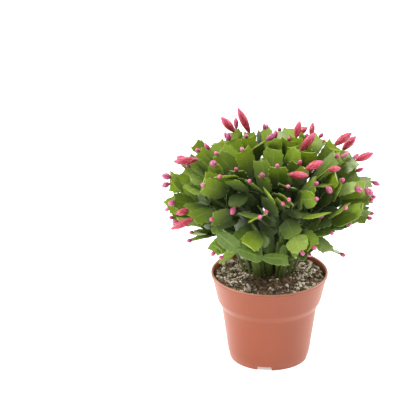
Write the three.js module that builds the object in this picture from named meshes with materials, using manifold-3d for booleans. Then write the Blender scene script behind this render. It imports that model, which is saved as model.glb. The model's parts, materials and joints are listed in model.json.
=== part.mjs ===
// A potted Thanksgiving cactus in bud: flat, toothed stem joints that fork and arch out of one clump, pink
// buds on their ends, potting soil, and a thin-walled plastic nursery pot. Millimetres, +Z up. The origin
// is on the floor under the middle of the pot, and -Y is the front.

import * as THREE from "three";
import { mergeVertices } from "three/addons/utils/BufferGeometryUtils.js";
import Module from "manifold-3d";

const wasm = await Module();
wasm.setup();

const degree = Math.PI / 180;
const goldenTurn = 137.508 * degree;
const up = new THREE.Vector3(0, 0, 1);

// Driving dimensions

const pot = {
  height: 94,
  rimRadius: 60,
  lipHeight: 3,
  lipWidth: 2.4,
  collarRadius: 59,
  collarFootRadius: 53.2,
  collarHeight: 29,
  shoulderHeight: 7,
  bodyTopRadius: 49,
  bodyFootRadius: 42.2,
  footRadius: 40,
  footHeight: 9,
  floorHeight: 4.5,
  wall: 1.3,
  edge: 0.8,
  floorRound: 2,
  sides: 36,
};

const notch = { count: 4, topWidth: 14, footWidth: 17, height: 4.2, depth: 9, firstAngle: -97.5 };
const drain = { count: 4, radius: 3.2, length: 8, ringRadius: 24, sides: 8 };

const soil = { depthBelowRim: 5, gap: 0.35, rings: 6, sides: 36, lump: 1.1, mound: 1.5, moundRadius: 36 };

const shank = { width: 6.4, thickness: 3, depth: 7, above: 1.2, holeGap: 0.45, holeTop: 6 };

// The crown is a dome with a flattened top over a blunt cone, given by its middle height, its reach and its
// rise and fall from there.
const crown = {
  middle: 165,
  reach: 101,
  rise: 66,
  boxinessOver: 2.6,
  boxinessUnder: 1.45,
  overshoot: 1.25,
  heart: -30,
  viewTilt: 23,
  seed: 164,
};

// The stems' feet stand on flattened rings round a point behind the pot's axis.
const feet = { middleY: 7, flatness: 0.7 };

// One row of stems for each height in the crown. Latitude is measured up from the crown's middle, in
// degrees.
const rows = [
  { stems: 3, tips: 10, latitude: 70, spread: 18, footRing: 5, turn: 40 },
  { stems: 7, tips: 10, latitude: 45, spread: 17, footRing: 13.5, turn: 10 },
  { stems: 8, tips: 8, latitude: 14, spread: 17, footRing: 21.5, turn: 22 },
  { stems: 6, tips: 8, latitude: -22, spread: 18, footRing: 25.5, turn: 60 },
];
// The angle that a row's stems spread their ends over, shared among them, and how far their feet stray.
const rowSpread = 162 * degree;
const footStray = 0.8;

const joint = {
  step: 26,
  slack: 1.04,
  shortest: 19,
  longest: 33,
  widths: [8.6, 13, 17, 19.5, 20.5],
  thickness: 2,
  sag: 2.6,
  widthSwing: 0.1,
  neckThickness: 0.9,
  widestNeck: 4.8,
  fan: 26 * degree,
  fanPitch: 0.5,
};

// How strongly a joint's heading keeps to its parent's, to the way up and, at an end, out of the crown.
const bearing = { onward: 0.6, up: 0.2, endOnward: 0.15, endOut: 0.4 };
// How much of its parent's width direction a joint keeps.
const twistKept = { usual: 0.8, facing: 0.2 };
// How far a joint may be rolled about its length.
const rollReach = { foot: 0.3, middle: 0.6, end: 0.75, facing: 0.25 };
// The cosines of the widest turn and twist between a joint and its parent.
const turnLimit = { heading: 0.45, across: 0.5 };

// A joint that would meet another is tried again, swung wider, rolled further and made a little smaller
// each time.
const retry = { count: 150, reach: 4, reachStep: 0.35, rollStep: 1 / 75, shorten: 0.002, narrow: 0.003 };

// Clear heights over and under a joint's middle surface, and what is left clear beside its edges.
const clearance = { other: 2.6, sibling: 2.2, parent: 2, neck: 0.9, beside: 1.2, bud: 2.4, budSide: 1 };

// How far joints stay off the soil, and over the rim within a distance of it.
const potClearance = { soil: 0.6, insideRim: 14, outsideRim: 5, overRim: 4, underRim: 4 };

// Where a joint's children sit along its end and how wide their necks are, as shares of the joint's width,
// for one child, two and three.
const forks = [null, { spread: 0, neck: 0.52 }, { spread: 0.2, neck: 0.24 }, { spread: 0.24, neck: 0.18 }];

// Half outlines of a joint from its neck to its end, as shares of half its width and of its length. The
// teeth beside the end stand out where no joint grows on from it.
const outlines = {
  strap: [[0.8, 0], [1, 0.4], [0.7, 0.92]],
  stem: [[0.26, 0], [0.86, 0.26], [1, 0.52], [0.7, 0.92]],
  branch: [[0.2, 0], [0.82, 0.24], [1, 0.46], [0.87, 0.52], [1, 0.76], [0.72, 0.92]],
  leaf: [[0.2, 0], [0.82, 0.24], [1, 0.46], [0.87, 0.52], [1.02, 0.76], [0.76, 1.03]],
};
const outlineEnd = 0.955;
// The space that a joint takes up begins and ends here along its length.
const spaceStart = -0.04;
const spaceEnd = 1.08;
// Up to here along its length a joint may come near its parent and its siblings.
const neckEnd = 0.2;
// The midrib rises from the neck to its full thickness here, and runs out at the end.
const midribTop = 0.72;

// Buds that show from the front: where their foot is, across and up from the middle of the pot's foot in
// the front view at the view tilt, their length and width, the angle they point at in that view and their
// lean out of it.
const budSites = [
  { across: -24, up: 228, length: 29, width: 8.4, angle: 117, lean: 15 },
  { across: -40, up: 228, length: 22, width: 8.6, angle: 134, lean: 25 },
  { across: -35, up: 232, length: 12, width: 5.5, angle: 92, lean: 10 },
  { across: -64, up: 211, length: 10, width: 5, angle: 146, lean: 30 },
  { across: -77, up: 193, length: 25, width: 8.4, angle: 186, lean: 15 },
  { across: -91, up: 180, length: 11, width: 7, angle: 165, lean: 30 },
  { across: -102, up: 173, length: 9, width: 6, angle: 200, lean: 15 },
  { across: -90, up: 160, length: 9, width: 6, angle: 240, lean: 20 },
  { across: -70, up: 152, length: 14, width: 6.4, angle: 202, lean: 20 },
  { across: -77, up: 136, length: 25, width: 7.6, angle: 207, lean: 10 },
  { across: -34, up: 152, length: 10, width: 6, angle: 242, lean: 30 },
  { across: -50, up: 199, length: 9, width: 7, angle: 200, lean: 65 },
  { across: -39, up: 214, length: 11, width: 5.4, angle: 98, lean: 40 },
  { across: -87, up: 201, length: 11, width: 5.6, angle: 170, lean: 20 },
  { across: -3, up: 214, length: 12, width: 6, angle: 39, lean: 20 },
  { across: 13, up: 217, length: 18, width: 7, angle: 77, lean: 20 },
  { across: 21, up: 228, length: 18, width: 7.4, angle: 30, lean: 20 },
  { across: 26, up: 213, length: 25, width: 8.4, angle: 49, lean: 25 },
  { across: 43, up: 224, length: 15, width: 6, angle: 100, lean: 10 },
  { across: 61, up: 216, length: 22, width: 8, angle: 37, lean: 15 },
  { across: 71, up: 213, length: 20, width: 8, angle: 46, lean: 10 },
  { across: 80, up: 204, length: 20, width: 7.8, angle: 22, lean: 10 },
  { across: 99, up: 190, length: 10, width: 5, angle: 333, lean: 10 },
  { across: 95, up: 168, length: 11, width: 6.8, angle: 300, lean: 30 },
  { across: 12, up: 177, length: 22, width: 8, angle: 358, lean: 30 },
  { across: 46, up: 172, length: 21, width: 8.2, angle: 310, lean: 20 },
  { across: 61, up: 167, length: 10, width: 6, angle: 308, lean: 30 },
  { across: 42, up: 162, length: 15, width: 6.2, angle: 258, lean: 25 },
  { across: 49, up: 192, length: 14, width: 6.2, angle: 7, lean: 25 },
  { across: 76, up: 182, length: 10, width: 6.6, angle: 325, lean: 40 },
  { across: -14, up: 178, length: 8, width: 5.4, angle: 100, lean: 60 },
  { across: -7, up: 142, length: 8, width: 5, angle: 60, lean: 60 },
];

// A stem that hangs down in front: the way that each joint goes on, to the right, up and out to the viewer.
const hanging = [[0.5, -0.5, 0.7], [0.75, -0.6, 0.3], [0.95, -0.25, 0], [1, 0.1, -0.1]];
// How wide its joints are beside other joints, and where they face.
const hangingWidth = 0.72;
const hangingFace = [0, 0.6, 0.8];

// Bare ends that show there too. An angle is given where the joint turns its face to the viewer and points
// there, and a trail where joints hang on from it.
const bareSites = [
  { across: 67, up: 209, angle: 85 },
  { across: 48, up: 216, angle: 95 },
  { across: 34, up: 206, angle: 80 },
  { across: 12, up: 212, angle: 100 },
  { across: -70, up: 228, angle: 100 },
  { across: -40, up: 246, angle: 80 },
  { across: -57, up: 108, angle: 255 },
  { across: -11, up: 146, angle: 95 },
  { across: -28, up: 105 },
  { across: 30, up: 108 },
  { across: 55, up: 110, angle: 290 },
  { across: 93, up: 150 },
  { across: -62, up: 130, angle: 250, trail: hanging },
];

// How strongly an end turns to where its place's angle points, and the lean of a bare one.
const pull = { bud: 0.8, bare: 3, bareLean: 10 };

const bud = { gap: 0.5, neck: 0.8, sides: 6, tries: 24, reach: 0.03, reachStep: 0.035, onwardStep: 0.05 };
const smallBud = { shortest: 5, longest: 10.5, width: 4.6, share: 0.75, lowest: 130 };

const colours = { pot: 0xb8694f, soil: 0x4a3d33, stem: 0x4f7423, bud: 0xd2405f };

// Solids

function solidOf(geometry) {
  const bare = geometry.index ? geometry.toNonIndexed() : geometry.clone();
  bare.deleteAttribute("normal");
  bare.deleteAttribute("uv");
  const merged = mergeVertices(bare, 1e-4);
  return new wasm.Manifold(
    new wasm.Mesh({
      numProp: 3,
      vertProperties: merged.attributes.position.array,
      triVerts: new Uint32Array(merged.index.array),
    }),
  );
}

// A skin is a surface that is built up point by point. A ring is the numbers of four of its points, in
// turn.
function makeSkin() {
  return { points: [], triangles: [] };
}

function addRing(skin, points) {
  return points.map((point) => skin.points.push(point) - 1);
}

function closeRing(skin, [a, b, c, d]) {
  skin.triangles.push([a, b, c], [c, d, a]);
}

function bridgeRings(skin, from, to) {
  for (let i = 0; i < 4; i++) {
    const next = (i + 1) % 4;
    skin.triangles.push([from[next], from[i], to[i]], [from[next], to[i], to[next]]);
  }
}

function solidOfSkin({ points, triangles }) {
  const geometry = new THREE.BufferGeometry();
  const places = points.flatMap(({ x, y, z }) => [x, y, z]);
  geometry.setAttribute("position", new THREE.BufferAttribute(new Float32Array(places), 3));
  geometry.setIndex(triangles.flat());
  return solidOf(geometry);
}

function meshOf(solid, name, colour, roughness) {
  const made = solid.getMesh();
  const geometry = new THREE.BufferGeometry();
  geometry.setAttribute("position", new THREE.BufferAttribute(new Float32Array(made.vertProperties), 3));
  geometry.setIndex(new THREE.BufferAttribute(new Uint32Array(made.triVerts), 1));
  geometry.computeVertexNormals();
  const material = new THREE.MeshStandardMaterial({ color: colour, roughness, metalness: 0 });
  const mesh = new THREE.Mesh(geometry, material);
  mesh.name = name;
  return mesh;
}

// A closed profile of [radius, height] pairs turned about the pot's axis.
function turned(profile, sides) {
  const points = [...profile, profile[0]].map(([radius, height]) => new THREE.Vector2(radius, height));
  const lathe = new THREE.LatheGeometry(points, sides);
  lathe.rotateX(Math.PI / 2);
  return solidOf(lathe);
}

// Numbers

// A number from 0 to 1 that depends only on the seed and on the whole numbers given.
function chance(...keys) {
  let mixed = crown.seed;
  for (const key of keys) {
    mixed = Math.imul(mixed ^ (key + 0x9e3779b9), 0x85ebca6b);
    mixed ^= mixed >>> 13;
    mixed = Math.imul(mixed, 0xc2b2ae35);
    mixed ^= mixed >>> 16;
  }
  return (mixed >>> 0) / 4294967296;
}

// The same, from -1 to 1.
function swing(...keys) {
  return 2 * chance(...keys) - 1;
}

function clamp(value, low, high) {
  return Math.min(high, Math.max(low, value));
}

function meanOf(vectors) {
  const sum = new THREE.Vector3();
  for (const vector of vectors) sum.add(vector);
  return sum.divideScalar(vectors.length);
}

// Pot

const shoulderTop = pot.height - pot.collarHeight;
const shoulderFoot = shoulderTop - pot.shoulderHeight;

function potRadiusInside(height) {
  if (height >= shoulderTop) {
    const share = (height - shoulderTop) / pot.collarHeight;
    return pot.collarFootRadius + (pot.collarRadius - pot.collarFootRadius) * share - pot.wall;
  }
  const share = clamp((height - pot.footHeight) / (shoulderFoot - pot.footHeight), 0, 1);
  return pot.bodyFootRadius + (pot.bodyTopRadius - pot.bodyFootRadius) * share - pot.wall;
}

function potSolid() {
  const lipFoot = pot.height - pot.lipHeight;
  let solid = turned(
    [
      [0, pot.floorHeight],
      [pot.footRadius - pot.wall - 1, pot.floorHeight],
      [pot.footRadius - pot.wall, 0],
      [pot.footRadius, 0],
      [pot.bodyFootRadius, pot.footHeight],
      [pot.bodyTopRadius, shoulderFoot],
      [pot.collarFootRadius, shoulderTop],
      [pot.collarRadius, lipFoot],
      [pot.rimRadius, lipFoot],
      [pot.rimRadius, pot.height - pot.edge],
      [pot.rimRadius - pot.edge, pot.height],
      [pot.rimRadius - pot.lipWidth, pot.height],
      [pot.collarRadius - pot.wall, lipFoot - 1],
      [pot.collarFootRadius - pot.wall, shoulderTop],
      [pot.bodyTopRadius - pot.wall, shoulderFoot],
      [pot.bodyFootRadius - pot.wall, pot.footHeight],
      [pot.bodyFootRadius - pot.wall - pot.floorRound, pot.floorHeight + pot.wall],
      [0, pot.floorHeight + pot.wall],
    ],
    pot.sides,
  );
  for (let i = 0; i < notch.count; i++) {
    solid = solid.subtract(notchCutter((notch.firstAngle + (i * 360) / notch.count) * degree));
  }
  for (let i = 0; i < drain.count; i++) {
    const angle = (notch.firstAngle + ((i + 0.5) * 360) / drain.count) * degree;
    const hole = new THREE.CylinderGeometry(drain.radius, drain.radius, drain.length, drain.sides);
    hole.rotateX(Math.PI / 2);
    hole.translate(drain.ringRadius * Math.cos(angle), drain.ringRadius * Math.sin(angle), pot.floorHeight);
    solid = solid.subtract(solidOf(hole));
  }
  return solid;
}

// A drainage notch in the foot ring, wider at the floor than at its top.
function notchCutter(angle) {
  const shape = new THREE.Shape();
  shape.moveTo(-notch.footWidth / 2, -1);
  shape.lineTo(notch.footWidth / 2, -1);
  shape.lineTo(notch.topWidth / 2, notch.height);
  shape.lineTo(-notch.topWidth / 2, notch.height);
  const cutter = new THREE.ExtrudeGeometry(shape, { depth: notch.depth, bevelEnabled: false });
  cutter.rotateX(Math.PI / 2);
  cutter.rotateZ(Math.PI / 2);
  cutter.translate(pot.footRadius - notch.depth / 2, 0, 0);
  cutter.rotateZ(angle);
  return solidOf(cutter);
}

// Soil

const soilLevel = pot.height - soil.depthBelowRim;

// Crumbs and hollows near the wall, and a smooth mound round the stems.
function soilHeight(x, y) {
  const radius = Math.hypot(x, y - feet.middleY);
  const mound = soil.mound * clamp(1.6 - (1.6 * radius) / soil.moundRadius, 0, 1);
  const waves = Math.sin(x * 0.61 + 2 * Math.sin(y * 0.37)) * Math.cos(y * 0.53 + 1.7 * Math.sin(x * 0.29));
  return soilLevel + mound + soil.lump * clamp((radius - soil.moundRadius) / 6, 0, 1) * waves;
}

function soilSolid(stems) {
  const floor = pot.floorHeight + pot.wall + soil.gap;
  const topRadius = potRadiusInside(soilLevel) - soil.gap - 0.2;
  const wallRings = [
    [potRadiusInside(shoulderTop) - soil.gap, shoulderTop + 0.4],
    [potRadiusInside(shoulderFoot) - soil.gap, shoulderFoot],
    [potRadiusInside(pot.footHeight) - soil.gap, pot.footHeight + 1],
    [potRadiusInside(pot.footHeight) - soil.gap - 2.4, floor],
  ];
  const points = [new THREE.Vector3(0, 0, soilHeight(0, 0))];
  const addCircle = (ring, radius, heightAt) => {
    for (let side = 0; side < soil.sides; side++) {
      const angle = ((side + 0.5 * (ring % 2)) * 2 * Math.PI) / soil.sides;
      const [x, y] = [radius * Math.cos(angle), radius * Math.sin(angle)];
      points.push(new THREE.Vector3(x, y, heightAt(x, y)));
    }
  };
  for (let ring = 1; ring <= soil.rings; ring++) addCircle(ring, (topRadius * ring) / soil.rings, soilHeight);
  for (const [radius, height] of wallRings) addCircle(soil.rings, radius, () => height);
  points.push(new THREE.Vector3(0, 0, floor));

  const triangles = [];
  const at = (ring, side) => 1 + (ring - 1) * soil.sides + (side % soil.sides);
  const lastRing = soil.rings + wallRings.length;
  for (let side = 0; side < soil.sides; side++) {
    triangles.push([0, at(1, side), at(1, side + 1)]);
    triangles.push([points.length - 1, at(lastRing, side + 1), at(lastRing, side)]);
    for (let ring = 1; ring < lastRing; ring++) {
      const [a, b] = [at(ring, side), at(ring, side + 1)];
      const [c, d] = [at(ring + 1, side), at(ring + 1, side + 1)];
      const isTurnedOn = ring < soil.rings && ring % 2 === 0;
      triangles.push(...(isTurnedOn ? [[a, c, b], [b, c, d]] : [[a, c, d], [a, d, b]]));
    }
  }
  let solid = solidOfSkin({ points, triangles });
  for (const stem of stems) solid = solid.subtract(shankHole(stem));
  return solid;
}

// The four corners of a stem's upright foot at a height over the soil, widened by a gap.
function shankRing({ foot, joints }, height, gap = 0) {
  const wide = joints[0].x.clone().setZ(0).normalize();
  const thick = wide.clone().cross(up);
  const middle = foot.clone().addScaledVector(up, height);
  return [
    middle.clone().addScaledVector(wide, shank.width / 2 + gap),
    middle.clone().addScaledVector(thick, shank.thickness / 2 + gap),
    middle.clone().addScaledVector(wide, -shank.width / 2 - gap),
    middle.clone().addScaledVector(thick, -shank.thickness / 2 - gap),
  ];
}

// The hole that a stem's foot stands in.
function shankHole(stem) {
  const skin = makeSkin();
  const floor = addRing(skin, shankRing(stem, -shank.depth - shank.holeGap, shank.holeGap * 1.5));
  const top = addRing(skin, shankRing(stem, shank.holeTop, shank.holeGap * 1.5));
  closeRing(skin, floor);
  bridgeRings(skin, floor, top);
  closeRing(skin, [...top].reverse());
  return solidOfSkin(skin);
}

// Joints

// A joint is kept as its neck's place, its three axes (x across, y along, z out of the upper face), its
// size and the sag of its end below the neck's plane.
function makeJoint({ heading, acrossHint, roll, ...shape }) {
  const y = heading.clone().normalize();
  const flatX = acrossHint.clone().addScaledVector(y, -acrossHint.dot(y)).normalize();
  const flatZ = new THREE.Vector3().crossVectors(flatX, y);
  const x = flatX.clone().multiplyScalar(Math.cos(roll)).addScaledVector(flatZ, Math.sin(roll));
  const z = flatZ.clone().multiplyScalar(Math.cos(roll)).addScaledVector(flatX, -Math.sin(roll));
  const made = { ...shape, x, y, z, roll, children: [], forks: 1 };
  made.probes = probesOf(made);
  made.middle = pointOn(made, 0, 0.5);
  made.size = Math.hypot(made.length, made.width) / 2;
  return made;
}

// A point of the joint's middle surface: across in millimetres, along as a share of its length.
function pointOn({ start, x, y, z, length, sag }, across, along, above = 0) {
  return start
    .clone()
    .addScaledVector(x, across)
    .addScaledVector(y, along * length)
    .addScaledVector(z, above - sag * along * along);
}

function endHeading({ y, z, length, sag }) {
  return y.clone().addScaledVector(z, (-2 * sag) / length).normalize();
}

function halfWidth(width, along) {
  return (width / 2) * clamp(0.25 + 2.4 * along, 0, 1);
}

// Points spread over a joint, which are tried against other joints.
function probesOf(made) {
  const probes = [];
  for (const along of [0.12, 0.25, 0.38, 0.52, 0.66, 0.8, 0.92, 1.03]) {
    for (const share of [-1, -0.67, -0.33, 0, 0.33, 0.67, 1]) {
      probes.push({ along, point: pointOn(made, share * halfWidth(made.width, along), along) });
    }
  }
  return probes;
}

// Whether a point lies in the space that a joint takes up with a clear height over and under it.
function isInside(point, made, height, lastAlong = spaceEnd) {
  const fromStart = point.clone().sub(made.start);
  const along = fromStart.dot(made.y) / made.length;
  if (along < spaceStart || along > lastAlong) return false;
  if (Math.abs(fromStart.dot(made.x)) > halfWidth(made.width, along) + clearance.beside) return false;
  return Math.abs(fromStart.dot(made.z) + made.sag * along * along) < height;
}

function jointsClash(a, b) {
  if (a.middle.distanceTo(b.middle) > a.size + b.size + clearance.other + 1) return false;
  if (a.parent === b) {
    return a.probes.some(({ along, point }) =>
      along > neckEnd ? isInside(point, b, clearance.parent) : isInside(point, b, clearance.neck, 0.97),
    );
  }
  const arePair = a.parent !== null && a.parent === b.parent;
  const [from, height] = arePair ? [neckEnd, clearance.sibling] : [0, clearance.other];
  return (
    a.probes.some(({ along, point }) => along >= from && isInside(point, b, height)) ||
    b.probes.some(({ along, point }) => along >= from && isInside(point, a, height))
  );
}

function followsParent({ parent, x, y }) {
  return !parent || (y.dot(endHeading(parent)) > turnLimit.heading && x.dot(parent.x) > turnLimit.across);
}

// Joints stay above the pot's rim and clear of the soil.
function isClearOfPot(made) {
  return made.probes.every(({ point }) => {
    const radius = Math.hypot(point.x, point.y);
    if (radius < pot.rimRadius - potClearance.insideRim) return point.z > made.stemFoot.z + potClearance.soil;
    if (radius < pot.rimRadius + potClearance.outsideRim) return point.z > pot.height + potClearance.overRim;
    return point.z > pot.height - potClearance.underRim;
  });
}

// Crown

// 1 on the crown's surface, less inside it and more outside.
function crownShare({ x, y, z }) {
  const boxiness = z > crown.middle ? crown.boxinessOver : crown.boxinessUnder;
  const across = Math.hypot(x, y) / crown.reach;
  const high = Math.abs(z - crown.middle) / crown.rise;
  return across ** boxiness + high ** boxiness;
}

function crownPoint(azimuth, latitude) {
  const power = 2 / (latitude > 0 ? crown.boxinessOver : crown.boxinessUnder);
  const flat = crown.reach * Math.cos(latitude) ** power;
  const rise = crown.rise * Math.sign(latitude) * Math.abs(Math.sin(latitude)) ** power;
  return new THREE.Vector3(flat * Math.cos(azimuth), flat * Math.sin(azimuth), crown.middle + rise);
}

// A direction given to the right, up and out to the viewer in the front view.
function fromView(right, upward, outward) {
  const [cos, sin] = [Math.cos(crown.viewTilt * degree), Math.sin(crown.viewTilt * degree)];
  return new THREE.Vector3(right, upward * sin - outward * cos, upward * cos + outward * sin);
}

function viewDirection(angle, lean) {
  const flat = Math.cos(lean * degree);
  return fromView(flat * Math.cos(angle * degree), flat * Math.sin(angle * degree), Math.sin(lean * degree));
}

// The point of the crown's front that shows at a place in the front view, or the nearest to the crown where
// the place is outside its outline.
function frontOfCrown(site) {
  let nearest = null;
  for (let outward = 120; outward > -120; outward -= 1) {
    const point = fromView(site.across, site.up, outward);
    if (crownShare(point) <= 1) return point;
    if (!nearest || crownShare(point) < crownShare(nearest)) nearest = point;
  }
  return nearest;
}

function tangentOf({ x, y }) {
  const azimuth = Math.atan2(y, x);
  return new THREE.Vector3(Math.sin(azimuth), -Math.cos(azimuth), 0);
}

// The way in which an end grows out of the crown at a point: away from the heart, low in its middle.
function outOfCrown(point) {
  return point.clone().sub(new THREE.Vector3(0, 0, crown.middle + crown.heart)).normalize();
}

// Every stem has a foot in the soil and the ends that it grows to.
function plannedStems() {
  const stems = [];
  for (const [rowIndex, row] of rows.entries()) {
    for (let i = 0; i < row.stems; i++) {
      const azimuth = (row.turn + (i * 360) / row.stems) * degree;
      const footRing = row.footRing + footStray * swing(rowIndex, i, 1);
      const x = footRing * Math.cos(azimuth);
      const y = feet.middleY + feet.flatness * footRing * Math.sin(azimuth);
      const stem = {
        index: stems.length,
        across: new THREE.Vector3(Math.sin(azimuth), -Math.cos(azimuth), 0),
        foot: new THREE.Vector3(x, y, soilHeight(x, y)),
        ends: [],
        joints: [],
      };
      for (let tip = 0; tip < row.tips; tip++) {
        const out = Math.sqrt((tip + 0.5) / row.tips);
        const round = tip * goldenTurn + i;
        const besides = (out * Math.cos(round) * rowSpread) / row.stems;
        const latitude = (row.latitude + row.spread * out * Math.sin(round)) * degree;
        const point = crownPoint(azimuth + besides, latitude);
        const [heading, across] = [outOfCrown(point), tangentOf(point)];
        stem.ends.push({ point, heading, across, site: null, isFacing: false });
      }
      stems.push(stem);
    }
  }
  return stems;
}

// Each place seen from the front draws the nearest free end to itself.
function drawEndsToSites(stems) {
  const ends = stems.flatMap((stem) => stem.ends);
  for (const site of [...budSites, ...bareSites]) {
    const isBud = site.length !== undefined;
    const point = frontOfCrown(site);
    const free = ends.filter((end) => !end.site);
    const nearest = free.reduce((a, b) => (b.point.distanceTo(point) < a.point.distanceTo(point) ? b : a));
    Object.assign(nearest, { point, site, heading: outOfCrown(point), across: tangentOf(point) });
    if (site.angle !== undefined) {
      const pointed = viewDirection(site.angle, isBud ? site.lean : pull.bareLean);
      nearest.heading.addScaledVector(pointed, isBud ? pull.bud : pull.bare).normalize();
    }
    if (!isBud && site.angle !== undefined) {
      nearest.across = nearest.heading.clone().cross(fromView(0, 0, 1));
      nearest.isFacing = true;
    }
  }
}

// Growth

// The way on from a joint, or from the foot, to the middle of its ends: how far, in how many steps and
// where to.
function courseOf({ stem, parent, side, ends }) {
  const start = parent
    ? pointOn(parent, side * forks[parent.forks].spread * parent.width, outlineEnd)
    : stem.foot.clone().addScaledVector(up, shank.above);
  const before = parent ? endHeading(parent) : up;
  const steps = Math.max(1, Math.round(start.distanceTo(meanOf(ends.map((end) => end.point))) / joint.step));
  const isLast = steps === 1;
  const backFromEnd = isLast ? 0 : -joint.step;
  const aims = ends.map(({ point, heading }) => point.clone().addScaledVector(heading, backFromEnd));
  const towards = meanOf(aims).sub(start);
  const share = towards.length() / Math.max(1, steps - 1);
  const length = clamp(share * joint.slack, joint.shortest, joint.longest);
  const heading = towards.normalize().addScaledVector(before, isLast ? bearing.endOnward : bearing.onward);
  if (isLast) heading.addScaledVector(ends[0].heading, bearing.endOut);
  else heading.addScaledVector(up, bearing.up * (steps - 1));
  return { start, steps, isLast, length, heading: heading.normalize() };
}

// One joint on. The first try that clears all that has grown is kept, and each try swings a little wider.
function growJoint(job, grown) {
  const { stem, parent, side, ends, level, key } = job;
  const { start, isLast, length, heading } = courseOf(job);
  const isFacing = isLast && ends[0].isFacing;
  const across = (isLast ? ends[0].across : stem.across).clone();
  if (parent && across.dot(parent.x) < 0) across.negate();
  if (parent) across.addScaledVector(parent.x, isFacing ? twistKept.facing : twistKept.usual).normalize();
  const aside = heading.clone().cross(across).normalize();
  const endReach = isFacing ? rollReach.facing : rollReach.end;
  const turnReach = isLast ? endReach : level === 0 ? rollReach.foot : rollReach.middle;
  const fan = parent?.forks > 1 ? joint.fan * Math.sign(swing(stem.index, parent.key, 10)) : 0;
  if (fan) heading.addScaledVector(parent.z, -side * Math.tan(fan) * joint.fanPitch).normalize();
  const usualWidth = joint.widths[Math.min(level, joint.widths.length - 1)];
  const slender = isLast && ends[0].site?.trail ? hangingWidth : 1;
  const width = slender * usualWidth * (1 + joint.widthSwing * swing(stem.index, key, 4));
  for (let attempt = 0; attempt < retry.count; attempt++) {
    const reach = Math.tan((retry.reach + retry.reachStep * attempt) * degree);
    const rollSwing = turnReach * (1 + retry.rollStep * attempt) * swing(stem.index, key, attempt, 3);
    const made = makeJoint({
      start,
      heading: heading
        .clone()
        .addScaledVector(across, reach * swing(stem.index, key, attempt, 1))
        .addScaledVector(aside, reach * swing(stem.index, key, attempt, 2)),
      acrossHint: across,
      roll: fan + rollSwing,
      length: length * (1 - retry.shorten * attempt),
      width: width * (1 - retry.narrow * attempt),
      sag: joint.sag * (0.4 + swing(stem.index, key, attempt, 5)),
      kind: isLast || level > 2 ? "leaf" : level > 0 ? "stem" : "strap",
      parent,
      stem: stem.index,
      stemFoot: stem.foot,
      side,
      level,
      key,
    });
    if (!followsParent(made) || !isClearOfPot(made)) continue;
    if (crownShare(pointOn(made, 0, 1)) > crown.overshoot) continue;
    if (grown.joints.some((other) => jointsClash(made, other))) continue;
    if (grown.buds.some((other) => budMeetsJoint(other, made))) continue;
    const site = isLast ? ends[0].site : null;
    if (!site?.length) return made;
    const flower = growBud(made, viewDirection(site.angle, site.lean), site, bud.gap, grown);
    if (flower) {
      grown.buds.push(flower);
      return made;
    }
  }
  return null;
}

// The ends that a joint's children grow to: forks come when the ends are three joints away or less.
function splitEnds(ends, steps, made) {
  const count = Math.min(steps > 4 ? 1 : steps === 4 ? 2 : 3, ends.length);
  const sideOf = (end) => end.point.clone().sub(made.start).dot(made.x);
  const inOrder = [...ends].sort((a, b) => sideOf(a) - sideOf(b));
  const groups = [];
  for (let i = 0; i < count; i++) {
    const [from, to] = [(i * ends.length) / count, ((i + 1) * ends.length) / count];
    groups.push(inOrder.slice(Math.round(from), Math.round(to)));
  }
  return groups;
}

// One more joint after an end.
function trailingJob({ stem, level, key }, made, heading, trail) {
  const point = pointOn(made, 0, outlineEnd).addScaledVector(heading, joint.step);
  const across = heading.clone().cross(fromView(...hangingFace)).normalize();
  const end = { point, heading, across, site: { trail }, isFacing: true };
  return { stem, parent: made, side: 0, ends: [end], level: level + 1, key: key * 4 };
}

// All stems grow a joint at a time in turn, those that bear a place seen from the front before the others.
function growCrown(stems) {
  const grown = { joints: [], buds: [] };
  const jobs = stems.map((stem) => ({ stem, parent: null, side: 0, ends: stem.ends, level: 0, key: 1 }));
  while (jobs.length) {
    const first = jobs.findIndex(({ ends }) => ends.some(({ site }) => site));
    const [job] = jobs.splice(Math.max(first, 0), 1);
    const made = growJoint(job, grown);
    if (!made) continue;
    grown.joints.push(made);
    job.stem.joints.push(made);
    job.parent?.children.push(made);
    const { steps, isLast } = courseOf(job);
    if (isLast) {
      made.end = job.ends[0];
      const [onward, ...trail] = made.end.site?.trail ?? [];
      if (onward) jobs.push(trailingJob(job, made, fromView(...onward).normalize(), trail));
      continue;
    }
    const groups = splitEnds(job.ends, steps, made);
    made.forks = groups.length;
    for (const [i, ends] of groups.entries()) {
      const side = groups.length === 1 ? 0 : (2 * i) / (groups.length - 1) - 1;
      jobs.push({ stem: job.stem, parent: made, side, ends, level: job.level + 1, key: job.key * 4 + i });
    }
  }
  return grown;
}

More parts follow.
